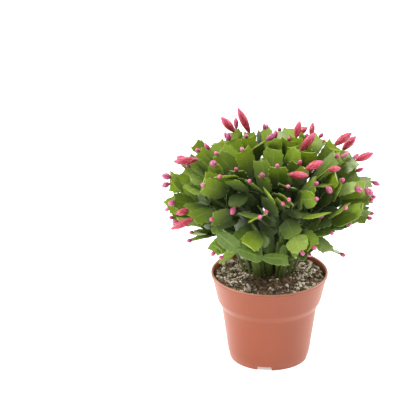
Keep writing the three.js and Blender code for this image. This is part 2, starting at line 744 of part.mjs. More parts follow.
// Covers a joint from the ring of its neck on: its toothed outline with a raised midrib on both faces, and
// an open ring in its end for each child.
function coverJoint(skin, made, [neckRight, neckUpper, neckLeft, neckLower]) {
  const bearsJoints = made.children.some((child) => !child.isBud);
  const outline = outlines[made.kind === "leaf" && bearsJoints ? "branch" : made.kind].slice(1);
  const add = (across, along, above = 0) => skin.points.push(pointOn(made, across, along, above)) - 1;
  const right = outline.map(([wide, along]) => add((wide * made.width) / 2, along));
  const left = outline.map(([wide, along]) => add((-wide * made.width) / 2, along));
  const upperTop = add(0, midribTop, joint.thickness / 2);
  const lowerTop = add(0, midribTop, -joint.thickness / 2);
  const { spread, neck } = forks[made.forks];
  const halfNeck = Math.min(joint.widestNeck, neck * made.width) / 2;
  const rings = [...made.children]
    .sort((a, b) => b.side - a.side)
    .map((child) => {
      const middle = child.side * spread * made.width;
      const thick = joint.neckThickness / 2;
      return [
        add(middle + halfNeck, outlineEnd),
        add(middle, outlineEnd, thick),
        add(middle - halfNeck, outlineEnd),
        add(middle, outlineEnd, -thick),
      ];
    });
  const end = rings.length ? [] : [add(0, outlineEnd)];
  const upperEnd = [...end, ...rings.flatMap(([a, upper, c]) => [a, upper, c])];
  const lowerEnd = [...end, ...rings.flatMap(([a, , c, lower]) => [a, lower, c])];
  const widest = outline.findIndex(([wide]) => wide >= 1);
  const coverFace = (neckMiddle, top, endPoints, isUpper) => {
    const put = (a, b, c) => skin.triangles.push(isUpper ? [a, b, c] : [a, c, b]);
    const edge = [neckRight, ...right, ...endPoints, ...[...left].reverse(), neckLeft];
    const [first, last] = [widest + 1, edge.length - 2 - widest];
    for (let i = 0; i + 1 < edge.length; i++) {
      put(i < first || i >= last ? neckMiddle : top, edge[i], edge[i + 1]);
    }
    put(neckMiddle, edge[first], top);
    put(neckMiddle, top, edge[last]);
  };
  coverFace(neckUpper, upperTop, upperEnd, true);
  coverFace(neckLower, lowerTop, lowerEnd, false);
  const byRing = [...made.children].sort((a, b) => b.side - a.side);
  for (const [i, child] of byRing.entries()) {
    if (child.isBud) coverSmallBud(skin, child, rings[i]);
    else coverJoint(skin, child, rings[i]);
  }
}

// Buds

// How far along a bud its thickness is tried, and what share of its width it has there.
const budProbes = [[0.15, 0.5], [0.35, 0.9], [0.55, 1], [0.75, 0.8], [1, 0.2]];

function budMeetsJoint(flower, made) {
  if (made.middle.distanceTo(flower.middle) > made.size + flower.length) return false;
  return budProbes.some(([, share], i) => {
    return isInside(flower.centres[i], made, clearance.bud + (share * flower.width) / 2);
  });
}

function budsMeet(a, b) {
  const least = (a.width + b.width) / 2 + clearance.budSide;
  return a.centres.some((centre) => b.centres.some((other) => other.distanceTo(centre) < least));
}

// Whether a bud's side comes close to the horns beside its own joint's end.
function meetsHorns({ centres, width }, made) {
  return [-1, 1].some((side) => {
    const horn = pointOn(made, side * 0.38 * made.width, 1.03);
    return budProbes.some(([, share], i) => {
      return centres[i].distanceTo(horn) < (share * width) / 2 + clearance.budSide;
    });
  });
}

// A bud on a joint's end, as near to the wanted heading as clears all that has grown, or nothing.
function growBud(made, wanted, { length, width }, gap, grown) {
  const onward = endHeading(made);
  const others = grown.joints.filter((other) => other !== made);
  for (let attempt = 0; attempt < bud.tries; attempt++) {
    const reach = bud.reach + attempt * bud.reachStep;
    const stray = new THREE.Vector3(
      swing(made.stem, made.key, attempt, 5),
      swing(made.stem, made.key, attempt, 6),
      swing(made.stem, made.key, attempt, 7),
    );
    const heading = wanted.clone().addScaledVector(stray, reach);
    heading.addScaledVector(onward, attempt * bud.onwardStep).normalize();
    const cosine = heading.dot(onward);
    const standOff = gap > 0 ? gap + bud.neck * Math.sqrt(1 - Math.min(1, cosine * cosine)) : 0;
    const start = pointOn(made, 0, outlineEnd).addScaledVector(onward, standOff);
    const centres = budProbes.map(([along]) => start.clone().addScaledVector(heading, along * length));
    const flower = { start, heading, length, width, centres, middle: centres[2], side: 0, isBud: true };
    if (cosine < 0.1 || meetsHorns(flower, made)) continue;
    if (others.some((other) => budMeetsJoint(flower, other))) continue;
    if (!grown.buds.some((other) => budsMeet(flower, other))) return flower;
  }
  return null;
}

// Small buds on other ends. They are part of their stem's solid.
function growSmallBuds(grown) {
  const all = { joints: grown.joints, buds: [...grown.buds] };
  for (const made of grown.joints) {
    const isBearer = made.children.length === 0 && made.kind === "leaf" && made.middle.z > smallBud.lowest;
    if (!isBearer || made.end?.site || chance(made.stem, made.key, 8) > smallBud.share) continue;
    const share = chance(made.stem, made.key, 9) ** 2;
    const length = smallBud.shortest + (smallBud.longest - smallBud.shortest) * share;
    const flower = growBud(made, endHeading(made), { length, width: smallBud.width }, 0, all);
    if (!flower) continue;
    made.forks = 1;
    made.children.push(flower);
    all.buds.push(flower);
  }
}

// Two directions square to a bud's heading and to each other.
function axesRound(heading) {
  const x = (Math.abs(heading.z) > 0.9 ? new THREE.Vector3(1, 0, 0) : up).clone().cross(heading).normalize();
  return [x, x.clone().cross(heading)];
}

// A small bud from the ring of its neck on: a four-sided belly and a point.
function coverSmallBud(skin, { start, heading, length, width }, neck) {
  const middle = start.clone().addScaledVector(heading, 0.5 * length);
  const [right, upper] = [skin.points[neck[0]].clone().sub(start), skin.points[neck[1]].clone().sub(start)];
  const x = right.addScaledVector(heading, -right.dot(heading)).normalize();
  const z = x.clone().cross(heading);
  const turn = z.dot(upper) < 0 ? -1 : 1;
  const around = [[x, 1], [z, turn], [x, -1], [z, -turn]];
  const belly = addRing(
    skin,
    around.map(([axis, side]) => middle.clone().addScaledVector(axis, (side * width) / 2)),
  );
  bridgeRings(skin, neck, belly);
  const tip = skin.points.push(start.clone().addScaledVector(heading, length)) - 1;
  for (let i = 0; i < 4; i++) skin.triangles.push([belly[(i + 1) % 4], belly[i], tip]);
}

// A large bud: a spindle with a thin neck, a full belly and a point.
function budSolid({ start, heading, length, width }) {
  const stations = [[0, (2 * bud.neck) / width], [0.2, 0.72], [0.5, 1], [0.78, 0.66]];
  const [x, z] = axesRound(heading);
  const skin = makeSkin();
  for (const [along, wide] of stations) {
    for (let side = 0; side < bud.sides; side++) {
      const angle = (side * 2 * Math.PI) / bud.sides;
      const middle = start.clone().addScaledVector(heading, along * length);
      middle.addScaledVector(x, (wide * width * Math.cos(angle)) / 2);
      skin.points.push(middle.addScaledVector(z, (wide * width * Math.sin(angle)) / 2));
    }
  }
  const foot = skin.points.push(start) - 1;
  const tip = skin.points.push(start.clone().addScaledVector(heading, length)) - 1;
  const at = (ring, side) => ring * bud.sides + (side % bud.sides);
  for (let side = 0; side < bud.sides; side++) {
    skin.triangles.push([foot, at(0, side), at(0, side + 1)]);
    skin.triangles.push([tip, at(stations.length - 1, side + 1), at(stations.length - 1, side)]);
    for (let ring = 0; ring + 1 < stations.length; ring++) {
      skin.triangles.push([at(ring, side), at(ring + 1, side), at(ring + 1, side + 1)]);
      skin.triangles.push([at(ring, side), at(ring + 1, side + 1), at(ring, side + 1)]);
    }
  }
  return solidOfSkin(skin);
}

// The plant

function stemSolid(stem) {
  const skin = makeSkin();
  const foot = addRing(skin, shankRing(stem, -shank.depth));
  const neck = addRing(skin, shankRing(stem, shank.above));
  closeRing(skin, foot);
  bridgeRings(skin, foot, neck);
  coverJoint(skin, stem.joints[0], neck);
  return solidOfSkin(skin);
}

const stems = plannedStems();
drawEndsToSites(stems);
const grown = growCrown(stems);
growSmallBuds(grown);
const grownStems = stems.filter((stem) => stem.joints.length > 0);
const numbered = (name, index) => `${name}_${String(index + 1).padStart(2, "0")}`;

const plant = new THREE.Group();
plant.add(meshOf(potSolid(), "pot", colours.pot, 0.45));
plant.add(meshOf(soilSolid(grownStems), "soil", colours.soil, 0.95));
for (const [i, stem] of grownStems.entries()) {
  plant.add(meshOf(stemSolid(stem), numbered("stem", i), colours.stem, 0.4));
}
for (const [i, flower] of grown.buds.entries()) {
  plant.add(meshOf(budSolid(flower), numbered("bud", i), colours.bud, 0.4));
}

export default plant;
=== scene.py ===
import json
import math

import bmesh
import bpy
import numpy as np
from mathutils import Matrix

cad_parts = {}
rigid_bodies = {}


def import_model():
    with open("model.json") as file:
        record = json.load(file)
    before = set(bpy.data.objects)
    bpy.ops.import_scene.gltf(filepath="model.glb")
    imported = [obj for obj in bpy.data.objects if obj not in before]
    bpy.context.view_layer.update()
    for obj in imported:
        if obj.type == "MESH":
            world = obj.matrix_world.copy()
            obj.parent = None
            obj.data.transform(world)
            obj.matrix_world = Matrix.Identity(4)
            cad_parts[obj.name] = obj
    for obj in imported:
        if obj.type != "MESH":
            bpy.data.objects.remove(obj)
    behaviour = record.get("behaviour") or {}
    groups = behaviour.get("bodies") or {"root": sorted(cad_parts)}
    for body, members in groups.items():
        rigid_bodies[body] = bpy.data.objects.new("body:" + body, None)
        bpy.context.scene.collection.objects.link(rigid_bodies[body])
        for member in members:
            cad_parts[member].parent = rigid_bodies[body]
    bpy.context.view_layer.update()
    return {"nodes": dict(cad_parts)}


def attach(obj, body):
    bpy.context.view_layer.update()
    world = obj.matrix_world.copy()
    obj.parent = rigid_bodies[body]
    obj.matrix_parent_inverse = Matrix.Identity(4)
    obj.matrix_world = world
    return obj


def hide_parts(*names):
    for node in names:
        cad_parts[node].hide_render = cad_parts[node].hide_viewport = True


# A potted Thanksgiving cactus in bud. The growth rule works in millimetres, and every piece is made in
# metres. The origin is on the floor under the middle of the pot, and -Y is the front.

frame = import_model()
scene = bpy.context.scene
mm = 0.001
degree = math.pi / 180
touching = 0.01  # points this near, in millimetres, are one
print("frame loaded", len(frame["nodes"]), "nodes")


# Working by hand in the scene

def deselectAll():
    for item in bpy.context.selected_objects:
        item.select_set(False)


def makeActive(piece):
    deselectAll()
    piece.select_set(True)
    bpy.context.view_layer.objects.active = piece


def newPiece(add, name, **settings):
    # a primitive, added with nothing else selected
    deselectAll()
    add(**settings)
    piece = bpy.context.object
    piece.name = piece.data.name = name
    return piece


def selectAll():
    bpy.ops.mesh.select_all(action="SELECT")


def editStart(piece):
    makeActive(piece)
    bpy.ops.object.mode_set(mode="EDIT")
    bpy.ops.mesh.select_mode(type="VERT")
    bpy.ops.mesh.select_all(action="DESELECT")


def editEnd():
    bpy.ops.object.mode_set(mode="OBJECT")


def pickPoints(piece, test):
    # selects the points whose place passes the test, in edit mode
    shape = bmesh.from_edit_mesh(piece.data)
    for point in shape.verts:
        point.select = bool(test(point.co))
    shape.select_flush_mode()
    bmesh.update_edit_mesh(piece.data)


def settle(piece):
    # puts the object's place, turn and size into its mesh
    makeActive(piece)
    bpy.ops.object.transform_apply(location=True, rotation=True, scale=True)


def smooth(piece, angle):
    makeActive(piece)
    bpy.ops.object.shade_smooth_by_angle(angle=angle * degree)


def applyModifier(piece, kind, **settings):
    makeActive(piece)
    modifier = piece.modifiers.new(kind.lower(), kind)
    for name, value in settings.items():
        setattr(modifier, name, value)
    bpy.ops.object.modifier_apply(modifier=modifier.name)


def placesOf(piece):
    places = np.empty(len(piece.data.vertices) * 3)
    piece.data.vertices.foreach_get("co", places)
    return places.reshape(-1, 3)


def setPlaces(piece, places):
    piece.data.vertices.foreach_set("co", np.asarray(places, dtype=float).ravel())
    piece.data.update()


def copyOf(model, name):
    made = model.copy()
    made.data = model.data.copy()
    made.name = made.data.name = name
    scene.collection.objects.link(made)
    return made


def paintLayer(piece, name, first, second):
    # a UV map that holds two numbers, each for the whole piece or one for each of its points
    points = np.empty(len(piece.data.loops), dtype=int)
    piece.data.loops.foreach_get("vertex_index", points)
    values = np.empty((len(piece.data.vertices), 2))
    values[:, 0], values[:, 1] = first, second
    layer = piece.data.uv_layers.new(name=name, do_init=False)
    layer.data.foreach_set("uv", values[points].ravel())


def joined(pieces, name):
    deselectAll()
    for piece in pieces:
        piece.select_set(True)
    bpy.context.view_layer.objects.active = pieces[0]
    bpy.ops.object.join()
    whole = bpy.context.view_layer.objects.active
    whole.name = whole.data.name = name
    return whole


def finishPiece(piece, finish, nodes=()):
    piece.data.materials.clear()
    piece.data.materials.append(finish)
    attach(piece, "root")
    if nodes:
        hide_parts(*nodes)


def discard(*pieces):
    for piece in pieces:
        bpy.data.objects.remove(piece, do_unlink=True)


# Shader maths

class Signal:
    # a socket of a material's node tree that Python's own operators work on
    def __init__(self, tree, socket):
        self.tree = tree
        self.socket = socket

    def add(self, kind, settings=None, inputs=None, output=0):
        return addNode(self.tree, kind, settings, inputs, output)

    def math(self, operation, *values):
        return self.add("Math", {"operation": operation}, dict(enumerate(values)))

    def __add__(self, other):
        return self.math("ADD", self, other)

    __radd__ = __add__

    def __mul__(self, other):
        return self.math("MULTIPLY", self, other)

    __rmul__ = __mul__

    def __sub__(self, other):
        return self.math("SUBTRACT", self, other)

    def __rsub__(self, other):
        return self.math("SUBTRACT", other, self)

    def __truediv__(self, other):
        return self.math("DIVIDE", self, other)

    def __pow__(self, other):
        return self.math("POWER", self, other)

    def __abs__(self):
        return self.math("ABSOLUTE", self)

    def smoothFrom(self, low, high):
        # 0 below low, 1 above high and a soft step between
        return self.add(
            "MapRange", {"interpolation_type": "SMOOTHSTEP"},
            {"Value": self, "From Min": low, "From Max": high},
        )

    def part(self, axis):
        return self.add("SeparateXYZ", None, {0: self}, output="XYZ".index(axis))


def addNode(tree, kind, settings=None, inputs=None, output=0):
    node = tree.nodes.new("ShaderNode" + kind)
    for name, value in (settings or {}).items():
        setattr(node, name, value)
    for name, value in (inputs or {}).items():
        if isinstance(value, Signal):
            tree.links.new(value.socket, node.inputs[name])
        else:
            node.inputs[name].default_value = value
    return Signal(tree, node.outputs[output])


def colour(red, green, blue):
    # a colour as a paint program gives it, 0 to 255
    shares = [value / 255 for value in (red, green, blue)]
    return tuple(s / 12.92 if s <= 0.04045 else ((s + 0.055) / 1.055) ** 2.4 for s in shares) + (1,)


def newFinish(name, **constants):
    finish = bpy.data.materials.new(name)
    finish.use_nodes = True
    shader = finish.node_tree.nodes["Principled BSDF"]
    for socket, value in constants.items():
        shader.inputs[socket.replace("_", " ")].default_value = value
    return finish, finish.node_tree, shader


def mixed(share, first, second):
    # sockets 6 and 7 take the two colours, and 2 gives the mixed one
    return share.add("Mix", {"data_type": "RGBA"}, {0: share, 6: first, 7: second}, output=2)


def noise(tree, place, scale, detail=3, roughness=0.55):
    return addNode(
        tree, "TexNoise", None, {"Vector": place, "Scale": scale, "Detail": detail, "Roughness": roughness}
    )


def connect(tree, shader, **signals):
    for socket, signal in signals.items():
        tree.links.new(signal.socket, shader.inputs[socket.replace("_", " ")])


def bumped(tree, height, strength, depth):
    return addNode(tree, "Bump", None, {"Strength": strength, "Distance": depth, "Height": height})


def objectPlace(tree):
    return addNode(tree, "TexCoord", output="Object")


def uvPlace(tree, name):
    return addNode(tree, "UVMap", {"uv_map": name})


# Camera and light

view = {"tilt": 23, "distance": 3.0, "frameWidth": 0.4058, "across": -0.0712, "up": 0.1593, "sensor": 36}


def placeCamera():
    tilt = view["tilt"] * degree
    target = np.array([view["across"], 0, view["up"] / math.cos(tilt)])
    back = np.array([0, -math.cos(tilt), math.sin(tilt)]) * view["distance"]
    bpy.ops.object.camera_add(location=target + back, rotation=((90 - view["tilt"]) * degree, 0, 0))
    camera = bpy.context.object
    camera.data.sensor_width = view["sensor"]
    camera.data.lens = view["sensor"] * view["distance"] / view["frameWidth"]
    scene.camera = camera


light = {
    "sky": 0.4,
    "lamps": [
        {"place": (-1.0, -1.1, 2.0), "size": 0.9, "power": 48},
        {"place": (1.7, 0.9, 1.3), "size": 1.2, "power": 46},
        {"place": (-1.7, 0.9, 0.9), "size": 1.2, "power": 26},
        {"place": (0.0, 1.2, 1.9), "size": 1.2, "power": 30},
    ],
    "aim": (0, 0, 0.14),
}


def placeLights():
    world = bpy.data.worlds.new("studio")
    world.use_nodes = True
    world.node_tree.nodes["Background"].inputs["Color"].default_value = (1, 1, 1, 1)
    world.node_tree.nodes["Background"].inputs["Strength"].default_value = light["sky"]
    scene.world = world
    for lamp in light["lamps"]:
        place = np.array(lamp["place"])
        towards = np.array(light["aim"]) - place
        turn = math.atan2(towards[0], -towards[1])
        tip = math.atan2(math.hypot(towards[0], towards[1]), -towards[2])
        bpy.ops.object.light_add(type="AREA", location=place, rotation=(tip, 0, turn + math.pi))
        bpy.context.object.data.size = lamp["size"]
        bpy.context.object.data.energy = lamp["power"]
    scene.view_settings.view_transform = "Standard"


floorLook = {
    "radius": 4, "sides": 64, "dark": colour(245, 245, 245), "light": colour(250, 250, 250), "grain": 30,
    "roughness": 0.8, "glow": 0.45,
}


def makeFloor():
    floor = newPiece(
        bpy.ops.mesh.primitive_circle_add, "studioFloor",
        vertices=floorLook["sides"], radius=floorLook["radius"], fill_type="NGON",
    )
    finish, tree, shader = newFinish(
        "paleFloor", Roughness=floorLook["roughness"], Emission_Color=(1, 1, 1, 1),
        Emission_Strength=floorLook["glow"],
    )
    grain = noise(tree, objectPlace(tree), floorLook["grain"])
    connect(tree, shader, Base_Color=mixed(grain, floorLook["dark"], floorLook["light"]))
    floor.data.materials.append(finish)


placeCamera()
placeLights()
makeFloor()
print("camera, lights and floor placed")


# Growth: every stem grows from the soil to its own ends on the crown, one flat joint after another, and a
# joint is kept where it clears all that has grown before it.

goldenTurn = 137.508 * degree
upward = np.array([0.0, 0.0, 1.0])

rim = {"radius": 60, "height": 94, "inside": 14, "outside": 5}
soilTop = {
    "depthBelowRim": 5, "mound": 1.5, "moundRadius": 36, "moundSlope": 1.6, "lump": 1.1, "lumpEdge": 6,
    "xWaves": (0.61, 0.29), "yWaves": (0.53, 0.37), "sways": (2, 1.7),
}
crown = {
    "middle": 165, "reach": 101, "rise": 66, "boxinessOver": 2.6, "boxinessUnder": 1.45,
    "overshoot": 1.25, "heart": -30, "besideSpread": 162, "searchDepth": 120, "seed": 164,
}
feet = {"middleY": 7, "flatness": 0.7, "above": 1.2, "ringSwing": 0.8}
rows = [
    {"stems": 3, "tips": 10, "latitude": 70, "spread": 18, "footRing": 5, "turn": 40},
    {"stems": 7, "tips": 10, "latitude": 45, "spread": 17, "footRing": 13.5, "turn": 10},
    {"stems": 8, "tips": 8, "latitude": 14, "spread": 17, "footRing": 21.5, "turn": 22},
    {"stems": 6, "tips": 8, "latitude": -22, "spread": 18, "footRing": 25.5, "turn": 60},
]
jointSize = {
    "step": 26, "slack": 1.04, "shortest": 19, "longest": 33, "widths": [8.6, 13, 17, 19.5, 20.5],
    "sag": 2.6, "sagMiddle": 0.4, "widthSwing": 0.1, "fan": 26 * degree, "fanPitch": 0.5, "end": 0.955,
    "neckEnd": 0.2, "neckShare": 0.25, "neckGrowth": 2.4, "leafLevel": 3, "hornAcross": 0.38,
    "hornAlong": 1.03,
}
forkSteps = 4  # a stem forks in two this many joints before its ends, and in three nearer to them
forkSpread = [0, 0, 0.2, 0.24]
keyStep = 4  # a joint's key is its parent's times this, and its own number on the parent
bearing = {"onward": 0.6, "up": 0.2, "endOnward": 0.15, "endOut": 0.4}
twistKept = {"usual": 0.8, "facing": 0.2}
rollReach = {"foot": 0.3, "middle": 0.6, "end": 0.75, "facing": 0.25}
turnLimit = {"heading": 0.45, "across": 0.5}
retry = {"count": 150, "reach": 4, "reachStep": 0.35, "rollStep": 1 / 75, "shorten": 0.002, "narrow": 0.003}
clearance = {
    "other": 2.6, "sibling": 2.2, "parent": 2, "neck": 0.9, "beside": 1.2, "bud": 2.4, "budSide": 1,
    "behind": -0.04, "ahead": 1.08, "aheadOfNeck": 0.97, "soil": 0.6, "rim": 4,
}
budGrowth = {
    "gap": 0.5, "neck": 0.8, "tries": 24, "reach": 0.03, "reachStep": 0.035, "onwardStep": 0.05,
    "leastOnward": 0.1,
}
smallBud = {"shortest": 5, "longest": 10.5, "width": 4.6, "share": 0.75, "lowest": 130}
budProfile = [(0.15, 0.5), (0.35, 0.9), (0.55, 1), (0.75, 0.8), (1, 0.2)]
probeAlongs = np.repeat([0.12, 0.25, 0.38, 0.52, 0.66, 0.8, 0.92, 1.03], 7)
probeShares = np.tile([-1, -0.67, -0.33, 0, 0.33, 0.67, 1], 8)
sitePull = {"bud": 0.8, "bare": 3, "bareLean": 10}

# A stem that hangs down in front: the way that each joint goes on, to the right, up and out to the viewer.
hanging = [(0.5, -0.5, 0.7), (0.75, -0.6, 0.3), (0.95, -0.25, 0), (1, 0.1, -0.1)]
hangingWidth = 0.72  # beside other joints
hangingFace = (0, 0.6, 0.8)

# Buds that show in front: how far right of the middle and how high they sit in the view, their length and
# width, the angle that they point at there, and how far they lean to the viewer.
budRows = [
    (-24, 228, 29, 8.4, 117, 15), (-40, 228, 22, 8.6, 134, 25), (-35, 232, 12, 5.5, 92, 10),
    (-64, 211, 10, 5, 146, 30), (-77, 193, 25, 8.4, 186, 15), (-91, 180, 11, 7, 165, 30),
    (-102, 173, 9, 6, 200, 15), (-90, 160, 9, 6, 240, 20), (-70, 152, 14, 6.4, 202, 20),
    (-77, 136, 25, 7.6, 207, 10), (-34, 152, 10, 6, 242, 30), (-50, 199, 9, 7, 200, 65),
    (-39, 214, 11, 5.4, 98, 40), (-87, 201, 11, 5.6, 170, 20), (-3, 214, 12, 6, 39, 20),
    (13, 217, 18, 7, 77, 20), (21, 228, 18, 7.4, 30, 20), (26, 213, 25, 8.4, 49, 25),
    (43, 224, 15, 6, 100, 10), (61, 216, 22, 8, 37, 15), (71, 213, 20, 8, 46, 10),
    (80, 204, 20, 7.8, 22, 10), (99, 190, 10, 5, 333, 10), (95, 168, 11, 6.8, 300, 30),
    (12, 177, 22, 8, 358, 30), (46, 172, 21, 8.2, 310, 20), (61, 167, 10, 6, 308, 30),
    (42, 162, 15, 6.2, 258, 25), (49, 192, 14, 6.2, 7, 25), (76, 182, 10, 6.6, 325, 40),
    (-14, 178, 8, 5.4, 100, 60), (-7, 142, 8, 5, 60, 60),
]
# Bare ends that show in front: their place, the angle that they point at, and what goes on after them.
bareRows = [
    (67, 209, 85, None), (48, 216, 95, None), (34, 206, 80, None), (12, 212, 100, None),
    (-70, 228, 100, None), (-40, 246, 80, None), (-57, 108, 255, None), (-11, 146, 95, None),
    (-28, 105, None, None), (30, 108, None, None), (55, 110, 290, None), (93, 150, None, None),
    (-62, 130, 250, hanging),
]
budSites = [dict(zip(("across", "up", "length", "width", "angle", "lean"), row)) for row in budRows]
bareSites = [dict(zip(("across", "up", "angle", "trail"), row), length=None) for row in bareRows]


stirring = {
    "offset": 0x9E3779B9, "first": 0x85EBCA6B, "firstShift": 13, "second": 0xC2B2AE35, "secondShift": 16,
    "size": 2**32,
}
# The last key of each kind of draw, which sets its chances apart from the others of the same joint or stem.
draw = {
    "footRing": 1, "across": 1, "aside": 2, "roll": 3, "width": 4, "sag": 5, "fan": 10, "stray": (5, 6, 7),
    "bearing": (8, 9), "leaf": (30, 31, 32, 33, 34, 35), "bud": (40, 41, 42), "smallBud": (43, 44),
}


def chance(*keys):
    # from 0 up to 1, always the same for the same keys
    state = crown["seed"]
    for key in keys:
        state = ((state ^ (key + stirring["offset"])) * stirring["first"]) % stirring["size"]
        state ^= state >> stirring["firstShift"]
        state = (state * stirring["second"]) % stirring["size"]
        state ^= state >> stirring["secondShift"]
    return state / stirring["size"]


def chancesOf(pad, kind):
    return [chance(pad["stem"], pad["key"], key) for key in draw[kind]]


def swing(*keys):
    return 2 * chance(*keys) - 1


def clamp(value, low, high):
    return min(high, max(low, value))


def nearest(value):
    return math.floor(value + 0.5)


def unit(vector):
    return vector / np.linalg.norm(vector)


def soilHeight(x, y):
    radius = math.hypot(x, y - feet["middleY"])
    slope, foot = soilTop["moundSlope"], soilTop["moundRadius"]
    mound = soilTop["mound"] * clamp(slope - (slope * radius) / foot, 0, 1)
    (xWave, xSlow), (yWave, ySlow) = soilTop["xWaves"], soilTop["yWaves"]
    wide, narrow = soilTop["sways"]
    waves = math.sin(x * xWave + wide * math.sin(y * ySlow))
    waves *= math.cos(y * yWave + narrow * math.sin(x * xSlow))
    lump = soilTop["lump"] * clamp((radius - foot) / soilTop["lumpEdge"], 0, 1)
    return rim["height"] - soilTop["depthBelowRim"] + mound + lump * waves


def pointOn(pad, across, along):
    # a point on the joint's sheet, which sinks as it goes out
    return (
        pad["start"] + pad["x"] * across + pad["y"] * (along * pad["length"])
        + pad["z"] * (-pad["sag"] * along * along)
    )


def endHeading(pad):
    return unit(pad["y"] + pad["z"] * (-2 * pad["sag"] / pad["length"]))


def halfWidths(width, alongs):
    return width / 2 * np.clip(jointSize["neckShare"] + jointSize["neckGrowth"] * alongs, 0, 1)


def makePad(heading, acrossHint, roll, **shape):
    y = unit(heading)
    flatX = unit(acrossHint - y * np.dot(acrossHint, y))
    flatZ = np.cross(flatX, y)
    pad = dict(shape, y=y, children=[], forks=1, end=None)
    pad["x"] = flatX * math.cos(roll) + flatZ * math.sin(roll)
    pad["z"] = flatZ * math.cos(roll) - flatX * math.sin(roll)
    across = probeShares * halfWidths(pad["width"], probeAlongs)
    pad["probes"] = (
        pad["start"] + across[:, None] * pad["x"] + (probeAlongs * pad["length"])[:, None] * y
        + (-pad["sag"] * probeAlongs * probeAlongs)[:, None] * pad["z"]
    )
    pad["middle"] = pointOn(pad, 0, 0.5)
    pad["size"] = math.hypot(pad["length"], pad["width"]) / 2
    return pad


def areInside(points, pad, height, ahead=clearance["ahead"]):
    offset = points - pad["start"]
    along = offset @ pad["y"] / pad["length"]
    beside = np.abs(offset @ pad["x"]) <= halfWidths(pad["width"], along) + clearance["beside"]
    near = np.abs(offset @ pad["z"] + pad["sag"] * along * along) < height
    return (along >= clearance["behind"]) & (along <= ahead) & beside & near


def keepPad(pad, grown):
    grown["pads"].append(pad)
    grown["middles"] = np.vstack([grown["middles"], pad["middle"]])
    grown["sizes"] = np.append(grown["sizes"], pad["size"])


def padsNear(middle, reach, grown):
    apart = np.linalg.norm(grown["middles"] - middle, axis=1)
    return [grown["pads"][i] for i in np.flatnonzero(apart <= grown["sizes"] + reach)]


def padsClash(a, b):
    if a["parent"] is b:
        pastNeck = probeAlongs > jointSize["neckEnd"]
        far = areInside(a["probes"][pastNeck], b, clearance["parent"])
        near = areInside(a["probes"][~pastNeck], b, clearance["neck"], clearance["aheadOfNeck"])
        return bool(far.any() or near.any())
    arePair = a["parent"] is not None and a["parent"] is b["parent"]
    tried = probeAlongs >= (jointSize["neckEnd"] if arePair else 0)
    height = clearance["sibling"] if arePair else clearance["other"]
    return any(areInside(one["probes"][tried], other, height).any() for one, other in ((a, b), (b, a)))


def isClearOfPot(pad):
    radius = np.hypot(pad["probes"][:, 0], pad["probes"][:, 1])
    floor = np.where(
        radius < rim["radius"] - rim["inside"], pad["footHeight"] + clearance["soil"],
        rim["height"]
        + np.where(radius < rim["radius"] + rim["outside"], clearance["rim"], -clearance["rim"]),
    )
    return bool((pad["probes"][:, 2] > floor).all())


def followsParent(pad):
    parent = pad["parent"]
    if parent is None:
        return True
    return (
        np.dot(pad["y"], endHeading(parent)) > turnLimit["heading"]
        and np.dot(pad["x"], parent["x"]) > turnLimit["across"]
    )


def crownShare(point):
    boxiness = crown["boxinessOver"] if point[2] > crown["middle"] else crown["boxinessUnder"]
    across = math.hypot(point[0], point[1]) / crown["reach"]
    high = abs(point[2] - crown["middle"]) / crown["rise"]
    return across**boxiness + high**boxiness


def crownPoint(azimuth, latitude):
    power = 2 / (crown["boxinessOver"] if latitude > 0 else crown["boxinessUnder"])
    flat = crown["reach"] * math.cos(latitude) ** power
    rise = crown["rise"] * math.copysign(abs(math.sin(latitude)) ** power, latitude)
    return np.array([flat * math.cos(azimuth), flat * math.sin(azimuth), crown["middle"] + rise])


def fromView(right, high, outward):
    cosine, sine = math.cos(view["tilt"] * degree), math.sin(view["tilt"] * degree)
    return np.array([right, high * sine - outward * cosine, high * cosine + outward * sine])


def viewDirection(angle, lean):
    flat = math.cos(lean * degree)
    return fromView(flat * math.cos(angle * degree), flat * math.sin(angle * degree), math.sin(lean * degree))


def frontOfCrown(site):
    closest = None
    for outward in range(crown["searchDepth"], -crown["searchDepth"], -1):
        point = fromView(site["across"], site["up"], outward)
        share = crownShare(point)
        if share <= 1:
            return point
        if closest is None or share < closest[0]:
            closest = (share, point)
    return closest[1]


def tangentOf(point):
    azimuth = math.atan2(point[1], point[0])
    return np.array([math.sin(azimuth), -math.cos(azimuth), 0.0])


def outOfCrown(point):
    return unit(point - np.array([0, 0, crown["middle"] + crown["heart"]]))


def plannedStems():
    stems = []
    for rowIndex, row in enumerate(rows):
        for i in range(row["stems"]):
            azimuth = (row["turn"] + i * 360 / row["stems"]) * degree
            footRing = row["footRing"] + feet["ringSwing"] * swing(rowIndex, i, draw["footRing"])
            x = footRing * math.cos(azimuth)
            y = feet["middleY"] + feet["flatness"] * footRing * math.sin(azimuth)
            stem = {
                "index": len(stems),
                "across": np.array([math.sin(azimuth), -math.cos(azimuth), 0.0]),
                "foot": np.array([x, y, soilHeight(x, y)]),
                "ends": [],
                "pads": [],
            }
            for tip in range(row["tips"]):
                out = math.sqrt((tip + 0.5) / row["tips"])
                turn = tip * goldenTurn + i
                besides = (out * math.cos(turn) * crown["besideSpread"] * degree) / row["stems"]
                latitude = (row["latitude"] + row["spread"] * out * math.sin(turn)) * degree
                point = crownPoint(azimuth + besides, latitude)
                stem["ends"].append({
                    "point": point, "heading": outOfCrown(point), "across": tangentOf(point),
                    "site": None, "isFacing": False,
                })
            stems.append(stem)
    return stems


